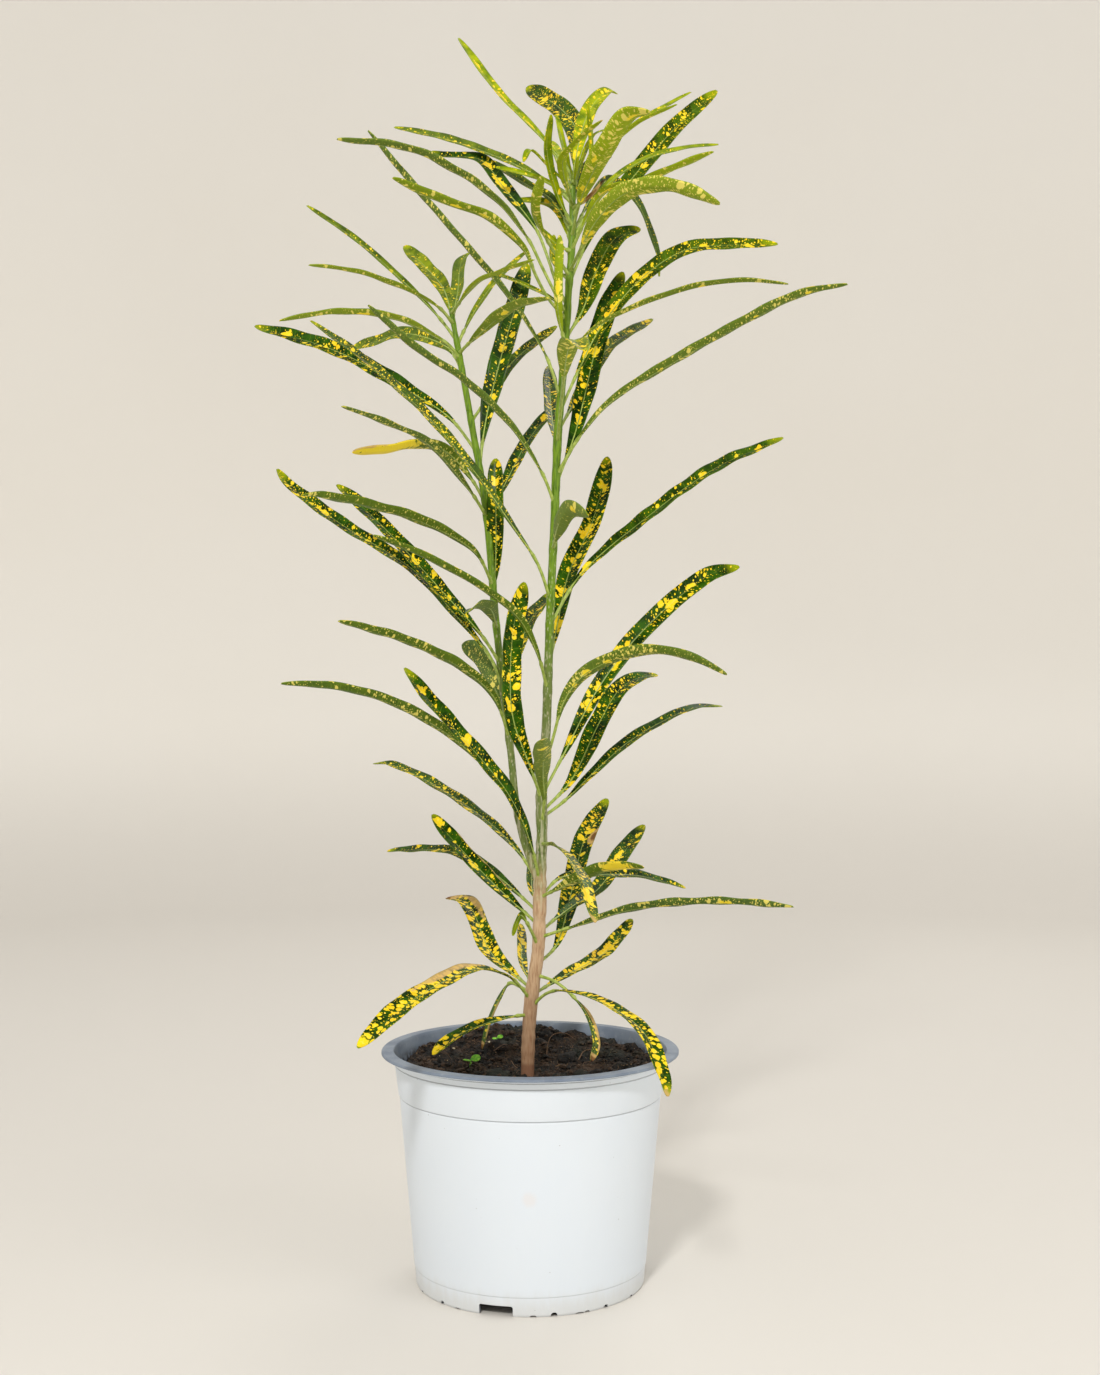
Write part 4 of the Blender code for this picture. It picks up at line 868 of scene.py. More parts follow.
def stem_finish():
    """Tan, fine-lined bark below, grey-green speckled skin over it, and smooth green above."""
    finish, paint = new_finish("croton_stem", Specular_IOR_Level=0.3)
    spot = paint.here()
    x, y, z = spot.parts()
    drawn = paint.point(x, y, z * 0.16)
    line = paint.grain(drawn, 0.0011, 4.0)
    cloud = paint.grain(spot, 0.012, 3.0)
    green = paint.mix(STEM_DARK_GREEN, STEM_GREEN, line.rise(0.25, 0.6) * 0.8 + cloud * 0.2)
    grey = paint.mix(STEM_GREY, STEM_DARK_GREEN, line.rise(0.48, 0.72) * 0.7)
    bark = paint.mix(BARK_TAN, BARK_PINK, line.rise(0.35, 0.65))
    bark = paint.mix(bark, BARK_DARK, (1 - line.rise(0.22, 0.42)) * 0.75)
    bark = paint.mix(bark, BARK_LOW, (1 - (z + (cloud - 0.5) * 0.03).rise(0.122, 0.190)) * 0.5)
    height = z + (cloud - 0.5) * 0.05 + (line - 0.5) * 0.03
    skin = paint.mix(grey, green, height.rise(GREY_TOP - 0.055, GREY_TOP + 0.01))
    skin = paint.mix(bark, skin, height.rise(BARK_TOP - 0.022, BARK_TOP + 0.012))
    dots = 1 - paint.cells(paint.point(x, y, z * 0.55), 0.0024, out="Distance").rise(0.1, 0.34)
    dotted = dots * (1 - height.rise(GREY_TOP, GREY_TOP + 0.05)) * height.rise(0.19, 0.25)
    skin = paint.mix(skin, SKIN_DOT, dotted * 0.5)
    # Fine pale cork lines speckle the grey stretch.
    cork = 1 - paint.cells(paint.point(x, y, z * 0.35), 0.0011, out="Distance").rise(0.16, 0.36)
    corked = cork * height.rise(0.21, 0.26) * (1 - height.rise(GREY_TOP + 0.01, GREY_TOP + 0.08))
    skin = paint.mix(skin, SKIN_CORK, corked * line.rise(0.4, 0.6) * 0.62)
    # Old skin flakes to pale streaks about the fork.
    flaking = paint.grain(paint.point(x, y, z * 0.08), 0.0016, 3.0).rise(0.5, 0.62)
    forked = z.rise(0.19, 0.225) * (1 - z.rise(0.29, 0.35))
    skin = paint.mix(skin, SKIN_FLAKE, flaking * forked * 0.55)
    damp = 1 - (z + (cloud - 0.5) * 0.006).rise(SOIL_LINE, SOIL_LINE + 0.003)
    skin = paint.mix(skin, BARK_DAMP, damp * 0.75)
    bumps = line * 0.7 + dots * 0.4 * dotted
    rough = 0.62 - height.rise(BARK_TOP, GREY_TOP) * 0.26 + line * 0.1
    return lay(finish, Base_Color=skin, Roughness=rough, Normal=relief(paint, bumps, 0.0004, 0.9))


def deselect():
    if bpy.context.mode != "OBJECT":
        bpy.ops.object.mode_set(mode="OBJECT")
    bpy.ops.object.select_all(action="DESELECT")


def pick(obj, *others):
    """Selects these objects alone, the first of them active."""
    deselect()
    for one in (obj, *others):
        one.select_set(True)
    bpy.context.view_layer.objects.active = obj
    return obj


def edit(obj, kind="VERT"):
    """Opens a mesh in edit mode with nothing selected."""
    pick(obj)
    bpy.ops.object.mode_set(mode="EDIT")
    bpy.ops.mesh.select_all(action="DESELECT")
    bpy.ops.mesh.select_mode(type=kind)


def edit_all(obj):
    """Opens a mesh in edit mode with everything selected."""
    edit(obj)
    bpy.ops.mesh.select_all(action="SELECT")


def select_parts(obj, wanted, kind="VERT"):
    """Selects in edit mode the vertices, edges or faces that wanted says yes to."""
    edit(obj, kind)
    bpy.ops.object.mode_set(mode="OBJECT")
    parts = {"VERT": obj.data.vertices, "EDGE": obj.data.edges, "FACE": obj.data.polygons}[kind]
    for part in parts:
        part.select = bool(wanted(part))
    bpy.ops.object.mode_set(mode="EDIT")


def apply_modifiers(obj):
    pick(obj)
    for modifier in list(obj.modifiers):
        bpy.ops.object.modifier_apply(modifier=modifier.name)
    return obj


def placed(name, data):
    """A new object in the scene."""
    made = bpy.data.objects.new(name, data)
    bpy.context.scene.collection.objects.link(made)
    return made


def copy_of(obj, name):
    made = obj.copy()
    made.data = obj.data.copy()
    made.name = name
    bpy.context.scene.collection.objects.link(made)
    return made


def joined(name, objects):
    """One piece out of several, with one mesh."""
    pick(*objects)
    if len(objects) > 1:
        bpy.ops.object.join()
    made = bpy.context.view_layer.objects.active
    made.name = name
    made.data.name = name
    return made


def cleared(*objects):
    for obj in objects:
        bpy.data.objects.remove(obj, do_unlink=True)


def tidy_shell(obj, merge=0.000002):
    """Merges doubled points and turns the faces outwards."""
    edit_all(obj)
    bpy.ops.mesh.remove_doubles(threshold=merge)
    bpy.ops.mesh.normals_make_consistent(inside=False)
    bpy.ops.object.mode_set(mode="OBJECT")


def finished(piece, finishes=(), replaced=()):
    """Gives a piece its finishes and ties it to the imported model."""
    if finishes:
        piece.data.materials.clear()
        for finish in finishes:
            piece.data.materials.append(finish)
    for node in replaced:
        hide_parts(node)
    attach(piece, "root")
    return piece


def runs_along(obj, edge, least):
    """Whether an edge of a mesh runs further than least along X."""
    start, end = (obj.data.vertices[i].co.x for i in edge.vertices)
    return abs(start - end) > least


def tube_blank(name, sides, rings):
    """A closed unit tube along +X from 0 to 1, with evenly spaced rings."""
    bpy.ops.mesh.primitive_cylinder_add(vertices=sides, radius=1, depth=1, location=(0, 0, 0))
    blank = bpy.context.object
    blank.name = name
    edit_all(blank)
    bpy.ops.transform.rotate(value=math.pi / 2, orient_axis="Y", center_override=(0, 0, 0))
    bpy.ops.transform.translate(value=(0.5, 0, 0))
    bpy.ops.object.mode_set(mode="OBJECT")
    select_parts(blank, lambda edge: runs_along(blank, edge, 0.5), "EDGE")
    bpy.ops.mesh.subdivide(number_cuts=rings - 1)
    bpy.ops.object.mode_set(mode="OBJECT")
    blank.data.shade_smooth()
    return blank


def sight(across, up, depth):
    """The real place, in metres, of a point seen across and up, and standing at depth."""
    flat = Vector((across * MM, 0, up * MM))
    return EYE + (flat - EYE) * ((depth * MM - EYE.y) / -EYE.y)


def stem_at(stem, height):
    """The stem's point at a height: a StemPoint worked out between its neighbours."""
    for low, high in zip(stem, stem[1:]):
        if height <= high.up:
            break
    share = (height - low.up) / (high.up - low.up)
    return StemPoint(*(a + (b - a) * share for a, b in zip(low, high)))


def stem_run(stem, low, high):
    """The stretch of a stem between two heights, ends included."""
    inner = [point for point in stem if low < point.up < high]
    return [stem_at(stem, low), *inner, stem_at(stem, high)]


def bell(x):
    """A smooth bump, 1 in its middle at 0."""
    return math.exp(-(x ** 2))


def run_length(points):
    return sum((b - a).length for a, b in zip(points, points[1:]))


def smooth_through(points, share):
    """A point on the smooth curve through points, at a share of its length."""
    steps = [(b - a).length for a, b in zip(points, points[1:])]
    along = share * sum(steps)
    i = 0
    while i < len(steps) - 1 and along > steps[i]:
        along -= steps[i]
        i += 1
    t = along / steps[i]
    before = points[i - 1] if i else points[0] * 2 - points[1]
    after = points[i + 2] if i + 2 < len(points) else points[-1] * 2 - points[-2]
    start, end = points[i], points[i + 1]
    slope_start = (end - before) * (steps[i] / ((end - start).length + (start - before).length))
    slope_end = (after - start) * (steps[i] / ((after - end).length + (end - start).length))
    return (
        start * (2 * t ** 3 - 3 * t ** 2 + 1)
        + slope_start * (t ** 3 - 2 * t ** 2 + t)
        + end * (3 * t ** 2 - 2 * t ** 3)
        + slope_end * (t ** 3 - t ** 2)
    )


def smooth_course(points, count):
    """That many points, evenly spaced along the smooth curve through points."""
    return [smooth_through(points, i / (count - 1)) for i in range(count)]


def headings(course):
    """The direction of a course at each of its points."""
    steps = [(b - a).normalized() for a, b in zip(course, course[1:])]
    return [*steps, steps[-1]]


def midrib_points(leaf, stem):
    """The midrib's points in space, in metres, from inside the stem to the tip."""
    root = stem_at(stem, leaf.root)
    seen = [(root.across, leaf.root), *((p[0], p[1]) for p in leaf.midrib)]
    lengths = [math.dist(a, b) for a, b in zip(seen, seen[1:])]
    points = [sight(root.across, leaf.root, root.depth)]
    for i, point in enumerate(leaf.midrib):
        share = sum(lengths[: i + 1]) / sum(lengths)
        depth = point[2] if len(point) == 3 else leaf.reach * share
        points.append(sight(point[0], point[1], root.depth * (1 - share) + depth))
    return points


def blade_stations(length):
    """Shares along the blade where it has a section: more on a long leaf, closer at the tip."""
    count = max(3, min(BLADE_STATIONS_MOST, round(length / BLADE_STATION_SPACING)))
    return [math.sin(math.pi / 2 * (i + 0.5) / (count - 0.5)) for i in range(count)]


def blade_half_width(leaf, share):
    """Half the blade's width at a share of its length: tapered base, rounded tip."""
    base = math.sin(math.pi / 2 * min(1.0, share / BASE_TAPER_TO)) ** 0.9
    past = max(0.0, (share - TIP_ROUNDING_FROM) / (1 - TIP_ROUNDING_FROM))
    tip = math.sqrt(max(0.0, 1 - past ** 2.4))
    wave = 1 + EDGE_WAVE * math.sin(math.tau * EDGE_WAVES * share + leaf.root)
    return max(TIP_HALF_WIDTH, leaf.width / 2 * (0.16 + 0.84 * base) * tip * wave)


def upper_side(leaf, tangent, place, seen_sign):
    """The direction that the upper side faces, from the side shown to the front."""
    sight_line = (EYE - place).normalized()
    to_front = (sight_line - tangent * sight_line.dot(tangent)).normalized()
    across = tangent.cross(to_front) * seen_sign
    turn = math.radians(leaf.facing)
    return to_front * math.cos(turn) + across * math.sin(turn)


BLADE_ROWS = 56
BLADE_COLUMNS = 8
COURSE_POINTS = 44


def blade_blank():
    """The sheet that every blade is cut from, 0 to 1 along and -1 to 1 across, with its
    columns drawn in towards the midrib and its rows towards the tip."""
    bpy.ops.mesh.primitive_grid_add(x_subdivisions=BLADE_ROWS, y_subdivisions=BLADE_COLUMNS, size=2)
    blank = bpy.context.object
    blank.name = "blade_blank"
    edit_all(blank)
    bpy.ops.transform.resize(value=(0.5, 1, 1), center_override=(0, 0, 0))
    bpy.ops.transform.translate(value=(0.5, 0, 0))
    for column, drawn in ((0.25, 0.55), (0.5, 0.86), (0.75, 0.98)):
        select_parts(blank, lambda v, column=column: abs(abs(v.co.y) - column) < 0.01)
        bpy.ops.transform.resize(value=(1, drawn, 1), center_override=(0.5, 0, 0))
    bpy.ops.object.mode_set(mode="OBJECT")
    for vertex in blank.data.vertices:
        vertex.co.x = 0.5 * vertex.co.x + 0.5 * math.sin(math.pi / 2 * vertex.co.x)
    blank.data.shade_smooth()
    return blank


def patch_depth(patches, along, across, blade_length, half):
    """How deep a point of the blade lies in its patches: 0.5 at an edge, 1 at a middle."""
    deepest = 0.0
    for at, side, length, width, *most in patches:
        out = math.hypot(
            (along - at) * blade_length / (length * MM / 2),
            (across - side) * half / (width * MM / 2),
        )
        deepest = max(deepest, min(1 - out / 2, *most, 1.0))
    return deepest


def write_attributes(mesh, places, tone, wears):
    """The blade's own numbers, which its finishes read, on each point."""
    for name, values in (("place", places), ("tone", [tone] * len(places)), ("wear", wears)):
        layer = mesh.attributes.new(name, "FLOAT_VECTOR", "POINT")
        layer.data.foreach_set("vector", [number for value in values for number in value])


def write_run(mesh, shift):
    """A UV map in metres along and across, shifted so that no two leaves are marked alike."""
    run = mesh.uv_layers[0]
    run.name = "blade"
    values = []
    for loop in mesh.loops:
        place = mesh.vertices[loop.vertex_index].co
        values += (place.x + shift[0], place.y + shift[1])
    run.data.foreach_set("uv", values)


BLADE_SKIN = 0.00042
# How far the keel lies below the leaf's course, as a share of the fold's whole rise.
KEEL_DROP = 0.55
GUTTER_DEPTH = 0.00016
GUTTER_HALF_WIDTH = 0.0005
WAVE_LENGTHS = (0.022, 0.034)
RUFFLES = (0.03, 0.09)
RIB_AT_STEM = 0.00135
RIB_PETIOLE = 0.00092
RIB_KNUCKLE = 0.00036
RIB_IN_BLADE = 0.0006
RIB_AT_TIP = 0.00012
# How far along the stalk its swellings reach, at the stem and at the blade, in metres.
STEM_SWELLING_REACH = 0.0042
KNUCKLE_REACH = 0.0022
# The share of a leaf's length that its rib runs along.
RIB_SHARE = 0.985


def keel_height(leaf, share):
    """Where the middle of the blade lies, in metres above its course."""
    return -KEEL_DROP * BLADE_FOLD * blade_half_width(leaf, share) * MM


def cut_blade(mesh, leaf, look, length, luck):
    """Gives a flat blade its outline, gutter, fold and waved edges, at its place on the course."""
    start = leaf.petiole * length
    blade_length = length - start
    swing = [luck.uniform(0, math.tau) for _ in range(4)]
    waves = blade_length / luck.uniform(*WAVE_LENGTHS)
    ruffle = luck.uniform(*RUFFLES)
    places, wears = [], []
    for vertex in mesh.vertices:
        share, across = vertex.co.x, vertex.co.y
        side = 0 if across > 0 else 1
        half = blade_half_width(leaf, share) * MM
        half *= 1 + 0.02 * math.sin(waves * 2.3 * share + swing[side])
        out = abs(across)
        fold = BLADE_FOLD * half * (out ** 1.3 - KEEL_DROP)
        gutter = -GUTTER_DEPTH * bell(across * half / GUTTER_HALF_WIDTH) * (1 - share)
        wave = ruffle * half * out ** 2 * math.sin(math.tau * waves * share + swing[2 + side])
        vertex.co = (start + blade_length * share, across * half, fold + gutter + wave)
        depth = patch_depth(look.patches, share, across, blade_length, half)
        ends = max(0.0, (share - (1 - 0.30 * look.dry)) / 0.16) if look.dry else 0.0
        scorched = patch_depth(look.browns, share, across, blade_length, half)
        brown = max(look.dry * 0.5 * out ** 3, min(1.1, ends), scorched)
        places.append((share, across * half, out))
        wears.append((brown, depth, look.pale))
    write_attributes(mesh, places, (look.young, look.gold, look.dust), wears)


def cut_rib(mesh, leaf, look, length):
    """Draws a unit tube out into a petiole and the midrib that runs on under the blade."""
    start = leaf.petiole * length
    places, wears = [], []
    for vertex in mesh.vertices:
        run = vertex.co.x * RIB_SHARE * length
        share = max(0.0, (run - start) / (length - start))
        if run < start:
            radius = RIB_PETIOLE
        else:
            radius = RIB_IN_BLADE + (RIB_AT_TIP - RIB_IN_BLADE) * share ** 0.8
        radius += (RIB_AT_STEM - RIB_PETIOLE) * bell(run / STEM_SWELLING_REACH)
        radius += RIB_KNUCKLE * bell((run - start) / KNUCKLE_REACH)
        settle = min(1.0, share / 0.06)
        height = (keel_height(leaf, share) - BLADE_SKIN * 0.6) * settle
        flat = 1 - 0.25 * settle
        vertex.co = (run, vertex.co.y * radius, vertex.co.z * radius * flat + height)
        places.append((share, 0.0, 0.0))
        wears.append((look.dry * 0.6 + max(0.0, look.dry - 0.4) * share, 0.0, look.pale))
    write_attributes(mesh, places, (look.young, look.gold, look.dust), wears)


def carried(first, tangents, start):
    """The direction at start, carried both ways along a course without turning about it."""
    ups = [None] * len(tangents)
    ups[start] = first
    for i in range(start + 1, len(tangents)):
        ups[i] = tangents[i - 1].rotation_difference(tangents[i]) @ ups[i - 1]
    for i in range(start - 1, -1, -1):
        ups[i] = tangents[i + 1].rotation_difference(tangents[i]) @ ups[i + 1]
    return ups


def bent_along(piece, course, ups):
    """Bends a straight piece, which lies along +X from the origin, along a course."""
    tangents = headings(course)
    zenith = Vector((0, 0, 1))
    first = (zenith - tangents[0] * zenith.dot(tangents[0])).normalized()
    plain = carried(first, tangents, 0)
    path = bpy.data.curves.new("course", "CURVE")
    path.dimensions = "3D"
    path.twist_mode = "MINIMUM"
    spline = path.splines.new("POLY")
    spline.points.add(len(course) - 1)
    for i, spot in enumerate(spline.points):
        spot.co = (*course[i], 1)
        if ups:
            side = plain[i].cross(tangents[i])
            spot.tilt = math.atan2(-ups[i].dot(side), ups[i].dot(plain[i]))
            if i:
                before = spline.points[i - 1].tilt
                spot.tilt += math.tau * round((before - spot.tilt) / math.tau)
    guide = placed("course", path)
    bend = piece.modifiers.new("Bend", "CURVE")
    bend.object = guide
    bend.deform_axis = "POS_X"
    apply_modifiers(piece)
    cleared(guide)
    bpy.data.curves.remove(path)
    return piece


def leaf_upsides(leaf, points, course):
    """The upward direction at each point of a leaf's course, turned a little as it goes."""
    shares = [i / (len(course) - 1) for i in range(len(course))]
    length = run_length(points)
    bends = max(1, round(leaf.petiole / PETIOLE_SHARE))
    stations = [leaf.petiole * i / bends for i in range(bends + 1)]
    stations += [leaf.petiole + (1 - leaf.petiole) * share for share in blade_stations(length)]
    middle = len(stations) // 2
    near = smooth_through(points, stations[middle])
    far = smooth_through(points, stations[min(middle + 1, len(stations) - 1)])
    tangent = (far - near).normalized()
    tip = smooth_through(points, 1)
    seen_sign = 1 if tip.x < points[0].x else -1
    up = upper_side(leaf, tangent, near, seen_sign)
    tangents = headings(course)
    start = min(range(len(shares)), key=lambda i: abs(shares[i] - stations[middle]))
    up = tangent.rotation_difference(tangents[start]) @ up
    return carried(up, tangents, start)


def stem_of(node):
    return SIDE_STEM if node.startswith("side") else AXIS_STEM


def look_of(leaf, node, leaves):
    """A leaf's own look, or the usual one of its node at the leaf's height."""
    if leaf.name in LOOKS:
        return LOOKS[leaf.name]
    low, high = USUAL_LOOKS[node]
    heights = [other.root for other in leaves]
    share = (leaf.root - min(heights)) / (max(heights) - min(heights))
    return Look(*(a + (b - a) * share for a, b in zip(low[:5], high[:5])))


# How far a fine leaf ends short of the CAD one, so that it stays inside the CAD box.
TIP_CLEARANCE = 0.0002


def grown_leaf(leaf, node, leaves, blanks, finishes):
    """One leaf on its stem: blade and rib, bent along the leaf's own course."""
    luck = random.Random(leaf.name)
    look = look_of(leaf, node, leaves)
    points = midrib_points(leaf, stem_of(node))
    course = smooth_course(points, COURSE_POINTS)
    length = run_length(course) - TIP_CLEARANCE
    shift = (luck.uniform(0, 2), luck.uniform(0, 2))
    blade = copy_of(blanks["blade"], leaf.name)
    cut_blade(blade.data, leaf, look, length, luck)
    write_run(blade.data, shift)
    rib = copy_of(blanks["rib"], leaf.name + "_rib")
    cut_rib(rib.data, leaf, look, length)
    write_run(rib.data, shift)
    for piece, worn in ((blade, finishes[:2]), (rib, finishes[2:])):
        piece.data.materials.clear()
        for finish in worn:
            piece.data.materials.append(finish)
    skin = blade.modifiers.new("Skin", "SOLIDIFY")
    skin.thickness = BLADE_SKIN
    skin.offset = -1
    skin.material_offset = 1
    skin.material_offset_rim = 0
    apply_modifiers(blade)
    whole = joined(leaf.name, [blade, rib])
    return bent_along(whole, course, leaf_upsides(leaf, points, course))


LEAVES_IN_A_TIER = 5


def grow_leaves(node, leaves, blanks, finishes):
    """A node's leaves in tiers, each tier one piece."""
    for first in range(0, len(leaves), LEAVES_IN_A_TIER):
        tier = leaves[first : first + LEAVES_IN_A_TIER]
        grown = [grown_leaf(leaf, node, leaves, blanks, finishes) for leaf in tier]
        piece = joined(f"{node}_leaves_{first // LEAVES_IN_A_TIER + 1}", grown)
        finished(piece, replaced=(node,))


STEM_SIDES = 20
NODE_SWELLING = 0.13
NODE_LENGTH = 2.6
MOST_SWELLING = 0.2
STEM_ROUGHNESS = 0.022
STEM_ROUGHNESS_SPACING = 0.014
# Spacing of the points of a stem's course, and of its rings, in mm.
STEM_COURSE_STEP = 4
STEM_RING_STEP = 1.6


def stem_piece(name, stem, low, high, knots, finish):
    """A tapered stem with a swelling at each leaf's foot and fine unevenness, as one tube."""
    points = stem_run(stem, low, high)
    course_knots = [sight(point.across, point.up, point.depth) for point in points]
    count = max(12, round((high - low) / STEM_COURSE_STEP))
    course = smooth_course(course_knots, count)
    length = run_length(course)
    tube = tube_blank(name, STEM_SIDES, max(16, round((high - low) / STEM_RING_STEP)))
    for vertex in tube.data.vertices:
        share, y, z = vertex.co
        spot = share * length
        height = low + (high - low) * share
        radius = stem_at(stem, min(max(height, stem[0].up), stem[-1].up)).radius * MM
        swell = sum(NODE_SWELLING * bell((height - knot) / NODE_LENGTH) for knot in knots)
        rough = noise.noise(Vector((spot / STEM_ROUGHNESS_SPACING, y * 0.9, z * 0.9 + low)))
        radius *= 1 + min(MOST_SWELLING, swell) + STEM_ROUGHNESS * rough
        vertex.co = (spot, y * radius, z * radius)
    tube.data.materials.append(finish)
    return bent_along(tube, course, None)


def spun(name, profile, steps):
    """A closed profile of (radius, height) points, from axis to axis, spun round Z."""
    mesh = bpy.data.meshes.new(name)
    edges = [(i, i + 1) for i in range(len(profile) - 1)]
    mesh.from_pydata([(radius, 0.0, height) for radius, height in profile], edges, [])
    piece = placed(name, mesh)
    edit_all(piece)
    bpy.ops.mesh.spin(steps=steps, angle=math.tau, center=(0, 0, 0), axis=(0, 0, 1))
    bpy.ops.object.mode_set(mode="OBJECT")
    tidy_shell(piece, 0.00001)
    return piece


# The most of a side that the rounding of one of its corners may take.
ROUNDED_SHARE = 0.42


def softened(profile, radius, turns=4):
    """The same profile with its corners rounded."""
    soft = [profile[0]]
    for before, corner, after in zip(profile, profile[1:], profile[2:]):
        near, middle, far = Vector(before), Vector(corner), Vector(after)
        back = min(radius, ROUNDED_SHARE * (near - middle).length)
        on = min(radius, ROUNDED_SHARE * (far - middle).length)
        start = middle + (near - middle).normalized() * back
        end = middle + (far - middle).normalized() * on
        for i in range(turns + 1):
            t = i / turns
            soft.append(tuple(start * (1 - t) ** 2 + middle * 2 * t * (1 - t) + end * t ** 2))
    return [*soft, profile[-1]]


def front_angle(degrees):
    """Radians from +X of a direction given in degrees round from the front."""
    return math.radians(degrees - 90)


def round_the_axis(radius, angle, height=0.0):
    return Vector((math.cos(angle) * radius, math.sin(angle) * radius, height))


def pot_radius(height):
    """Outer radius of the pot's wall, which tapers evenly below the step."""
    share = height / POT_STEP_HEIGHT
    return POT_FOOT_RADIUS + (POT_STEP_RADIUS - POT_STEP_DEPTH - POT_FOOT_RADIUS) * share


def pot_profile():
    """The wall's section, from the middle of the floor up the inside and down the outside."""
    floor_top = POT_FLOOR_UNDERSIDE + POT_FLOOR_THICKNESS
    lip_underside = POT_HEIGHT - POT_LIP_THICKNESS
    foot_inner = pot_radius(0) - POT_WALL
    soft = POT_ROUNDING
    line = POT_FOOT_LINE_DEPTH
    inside = [
        (0, floor_top),
        (pot_radius(floor_top) - POT_WALL, floor_top),
        (pot_radius(POT_STEP_HEIGHT) - POT_WALL, POT_STEP_HEIGHT),
        (POT_NECK_RADIUS - POT_WALL, POT_HEIGHT - 2 * POT_LIP_THICKNESS),
        (POT_NECK_RADIUS - soft, POT_HEIGHT - 2 * soft),
        (POT_RIM_CREST_RADIUS, POT_HEIGHT),
    ]
    outside = [
        (POT_RIM_RADIUS - soft, POT_HEIGHT - POT_RIM_DROP * 0.6),
        (POT_RIM_RADIUS, POT_HEIGHT - POT_RIM_DROP),
        (POT_RIM_RADIUS, lip_underside),
        (POT_RIM_RADIUS - 2 * soft, lip_underside - soft),
        (POT_NECK_RADIUS + soft, lip_underside - 2 * soft),
        (POT_NECK_RADIUS, lip_underside - 4 * soft),
        (POT_RIDGE_RADIUS + soft / 2, POT_RIDGE_HEIGHT + soft),
        (POT_RIDGE_RADIUS - soft, POT_RIDGE_HEIGHT),
        (POT_RIDGE_RADIUS - soft / 2, POT_RIDGE_HEIGHT - soft),
        (POT_STEP_RADIUS, POT_STEP_HEIGHT + soft),
        (pot_radius(POT_STEP_HEIGHT) - line, POT_STEP_HEIGHT),
        (pot_radius(POT_STEP_HEIGHT), POT_STEP_HEIGHT - soft),
        (pot_radius(POT_FOOT_LINE_HEIGHT), POT_FOOT_LINE_HEIGHT),
        (pot_radius(POT_FOOT_LINE_HEIGHT) - line, POT_FOOT_LINE_HEIGHT - soft * 0.7),
        (pot_radius(0) + soft, POT_FOOT_LINE_HEIGHT - soft * 1.4),
        (pot_radius(0), 2 * soft),
        (pot_radius(0) - soft, 0),
        (foot_inner - 2 * soft, 0),
        (foot_inner - soft, POT_FLOOR_UNDERSIDE),
        (0, POT_FLOOR_UNDERSIDE),
    ]
    return softened(inside, 0.002)[:-1] + softened(outside, 0.0003)


POT_TURNS = 180
PLASTIC_WHITE = shade(224, 231, 238)
PLASTIC_BLUE = shade(210, 222, 238)
PLASTIC_SLATE = shade(128, 140, 156)
PLASTIC_SLATE_DARK = shade(104, 116, 134)
# Painted shade: the colour of the thin shadow lines under the pot's ledges.
PLASTIC_LINE_SHADE = shade(98, 100, 106)
PLASTIC_SMEAR_SPOT = (0.0, -0.0705, 0.0650)
FLAT_SHADED_FROM = math.radians(32)
DRAIN_CUT_HEIGHT = 0.00625
# Height, half width and strength of each thin line of painted shade round the pot, under its
# ledges.
POT_SHADE_LINES = (
    (0.1286, 0.0008, 0.6), (POT_RIDGE_HEIGHT - 0.0002, 0.0005, 0.5),
    (POT_STEP_HEIGHT, 0.0005, 0.35), (0.0106, 0.0004, 0.15),
)
# Small nicks in the foot: degrees round from the front, width and height in mm.
FOOT_NICKS = (
    (-67, 2.8, 1.3), (-47, 2.6, 2.1), (-37, 4.6, 0.7), (2, 4.4, 1.1), (12, 3.6, 2.3),
    (25, 6.4, 0.8), (29, 3.4, 1.1), (40, 2.8, 2.0), (60, 3.0, 1.4), (124, 3.2, 1.8),
    (146, 5.0, 0.8), (160, 2.6, 1.9), (182, 3.4, 1.4), (194, 2.6, 2.0), (206, 6.0, 0.7),
    (250, 3.0, 1.4),
)


def notch(size, degrees, corner):
    """A rounded block that cuts one opening in the pot's foot."""
    width, height = size
    bpy.ops.mesh.primitive_cube_add(size=1)
    block = bpy.context.object
    block.name = f"notch_{degrees}"
    edit_all(block)
    bpy.ops.transform.resize(value=(CUTTER_REACH, width, 2 * height), center_override=(0, 0, 0))

    def upper_corner(edge):
        above = all(block.data.vertices[i].co.z > 0 for i in edge.vertices)
        return above and runs_along(block, edge, 0.001)

    select_parts(block, upper_corner, "EDGE")
    bpy.ops.mesh.bevel(offset=corner, segments=5)
    bpy.ops.object.mode_set(mode="OBJECT")
    angle = front_angle(degrees)
    place = Matrix.Translation(round_the_axis(POT_FOOT_RADIUS, angle))
    block.data.transform(place @ Matrix.Rotation(angle, 4, "Z"))
    return block


def cut(piece, cutters):
    """Takes all the cutters out of a piece."""
    cutter = joined("cutter", cutters)
    slot = piece.modifiers.new("Cut", "BOOLEAN")
    slot.operation = "DIFFERENCE"
    slot.solver = "EXACT"
    slot.use_self = True
    slot.object = cutter
    apply_modifiers(piece)
    cleared(cutter)


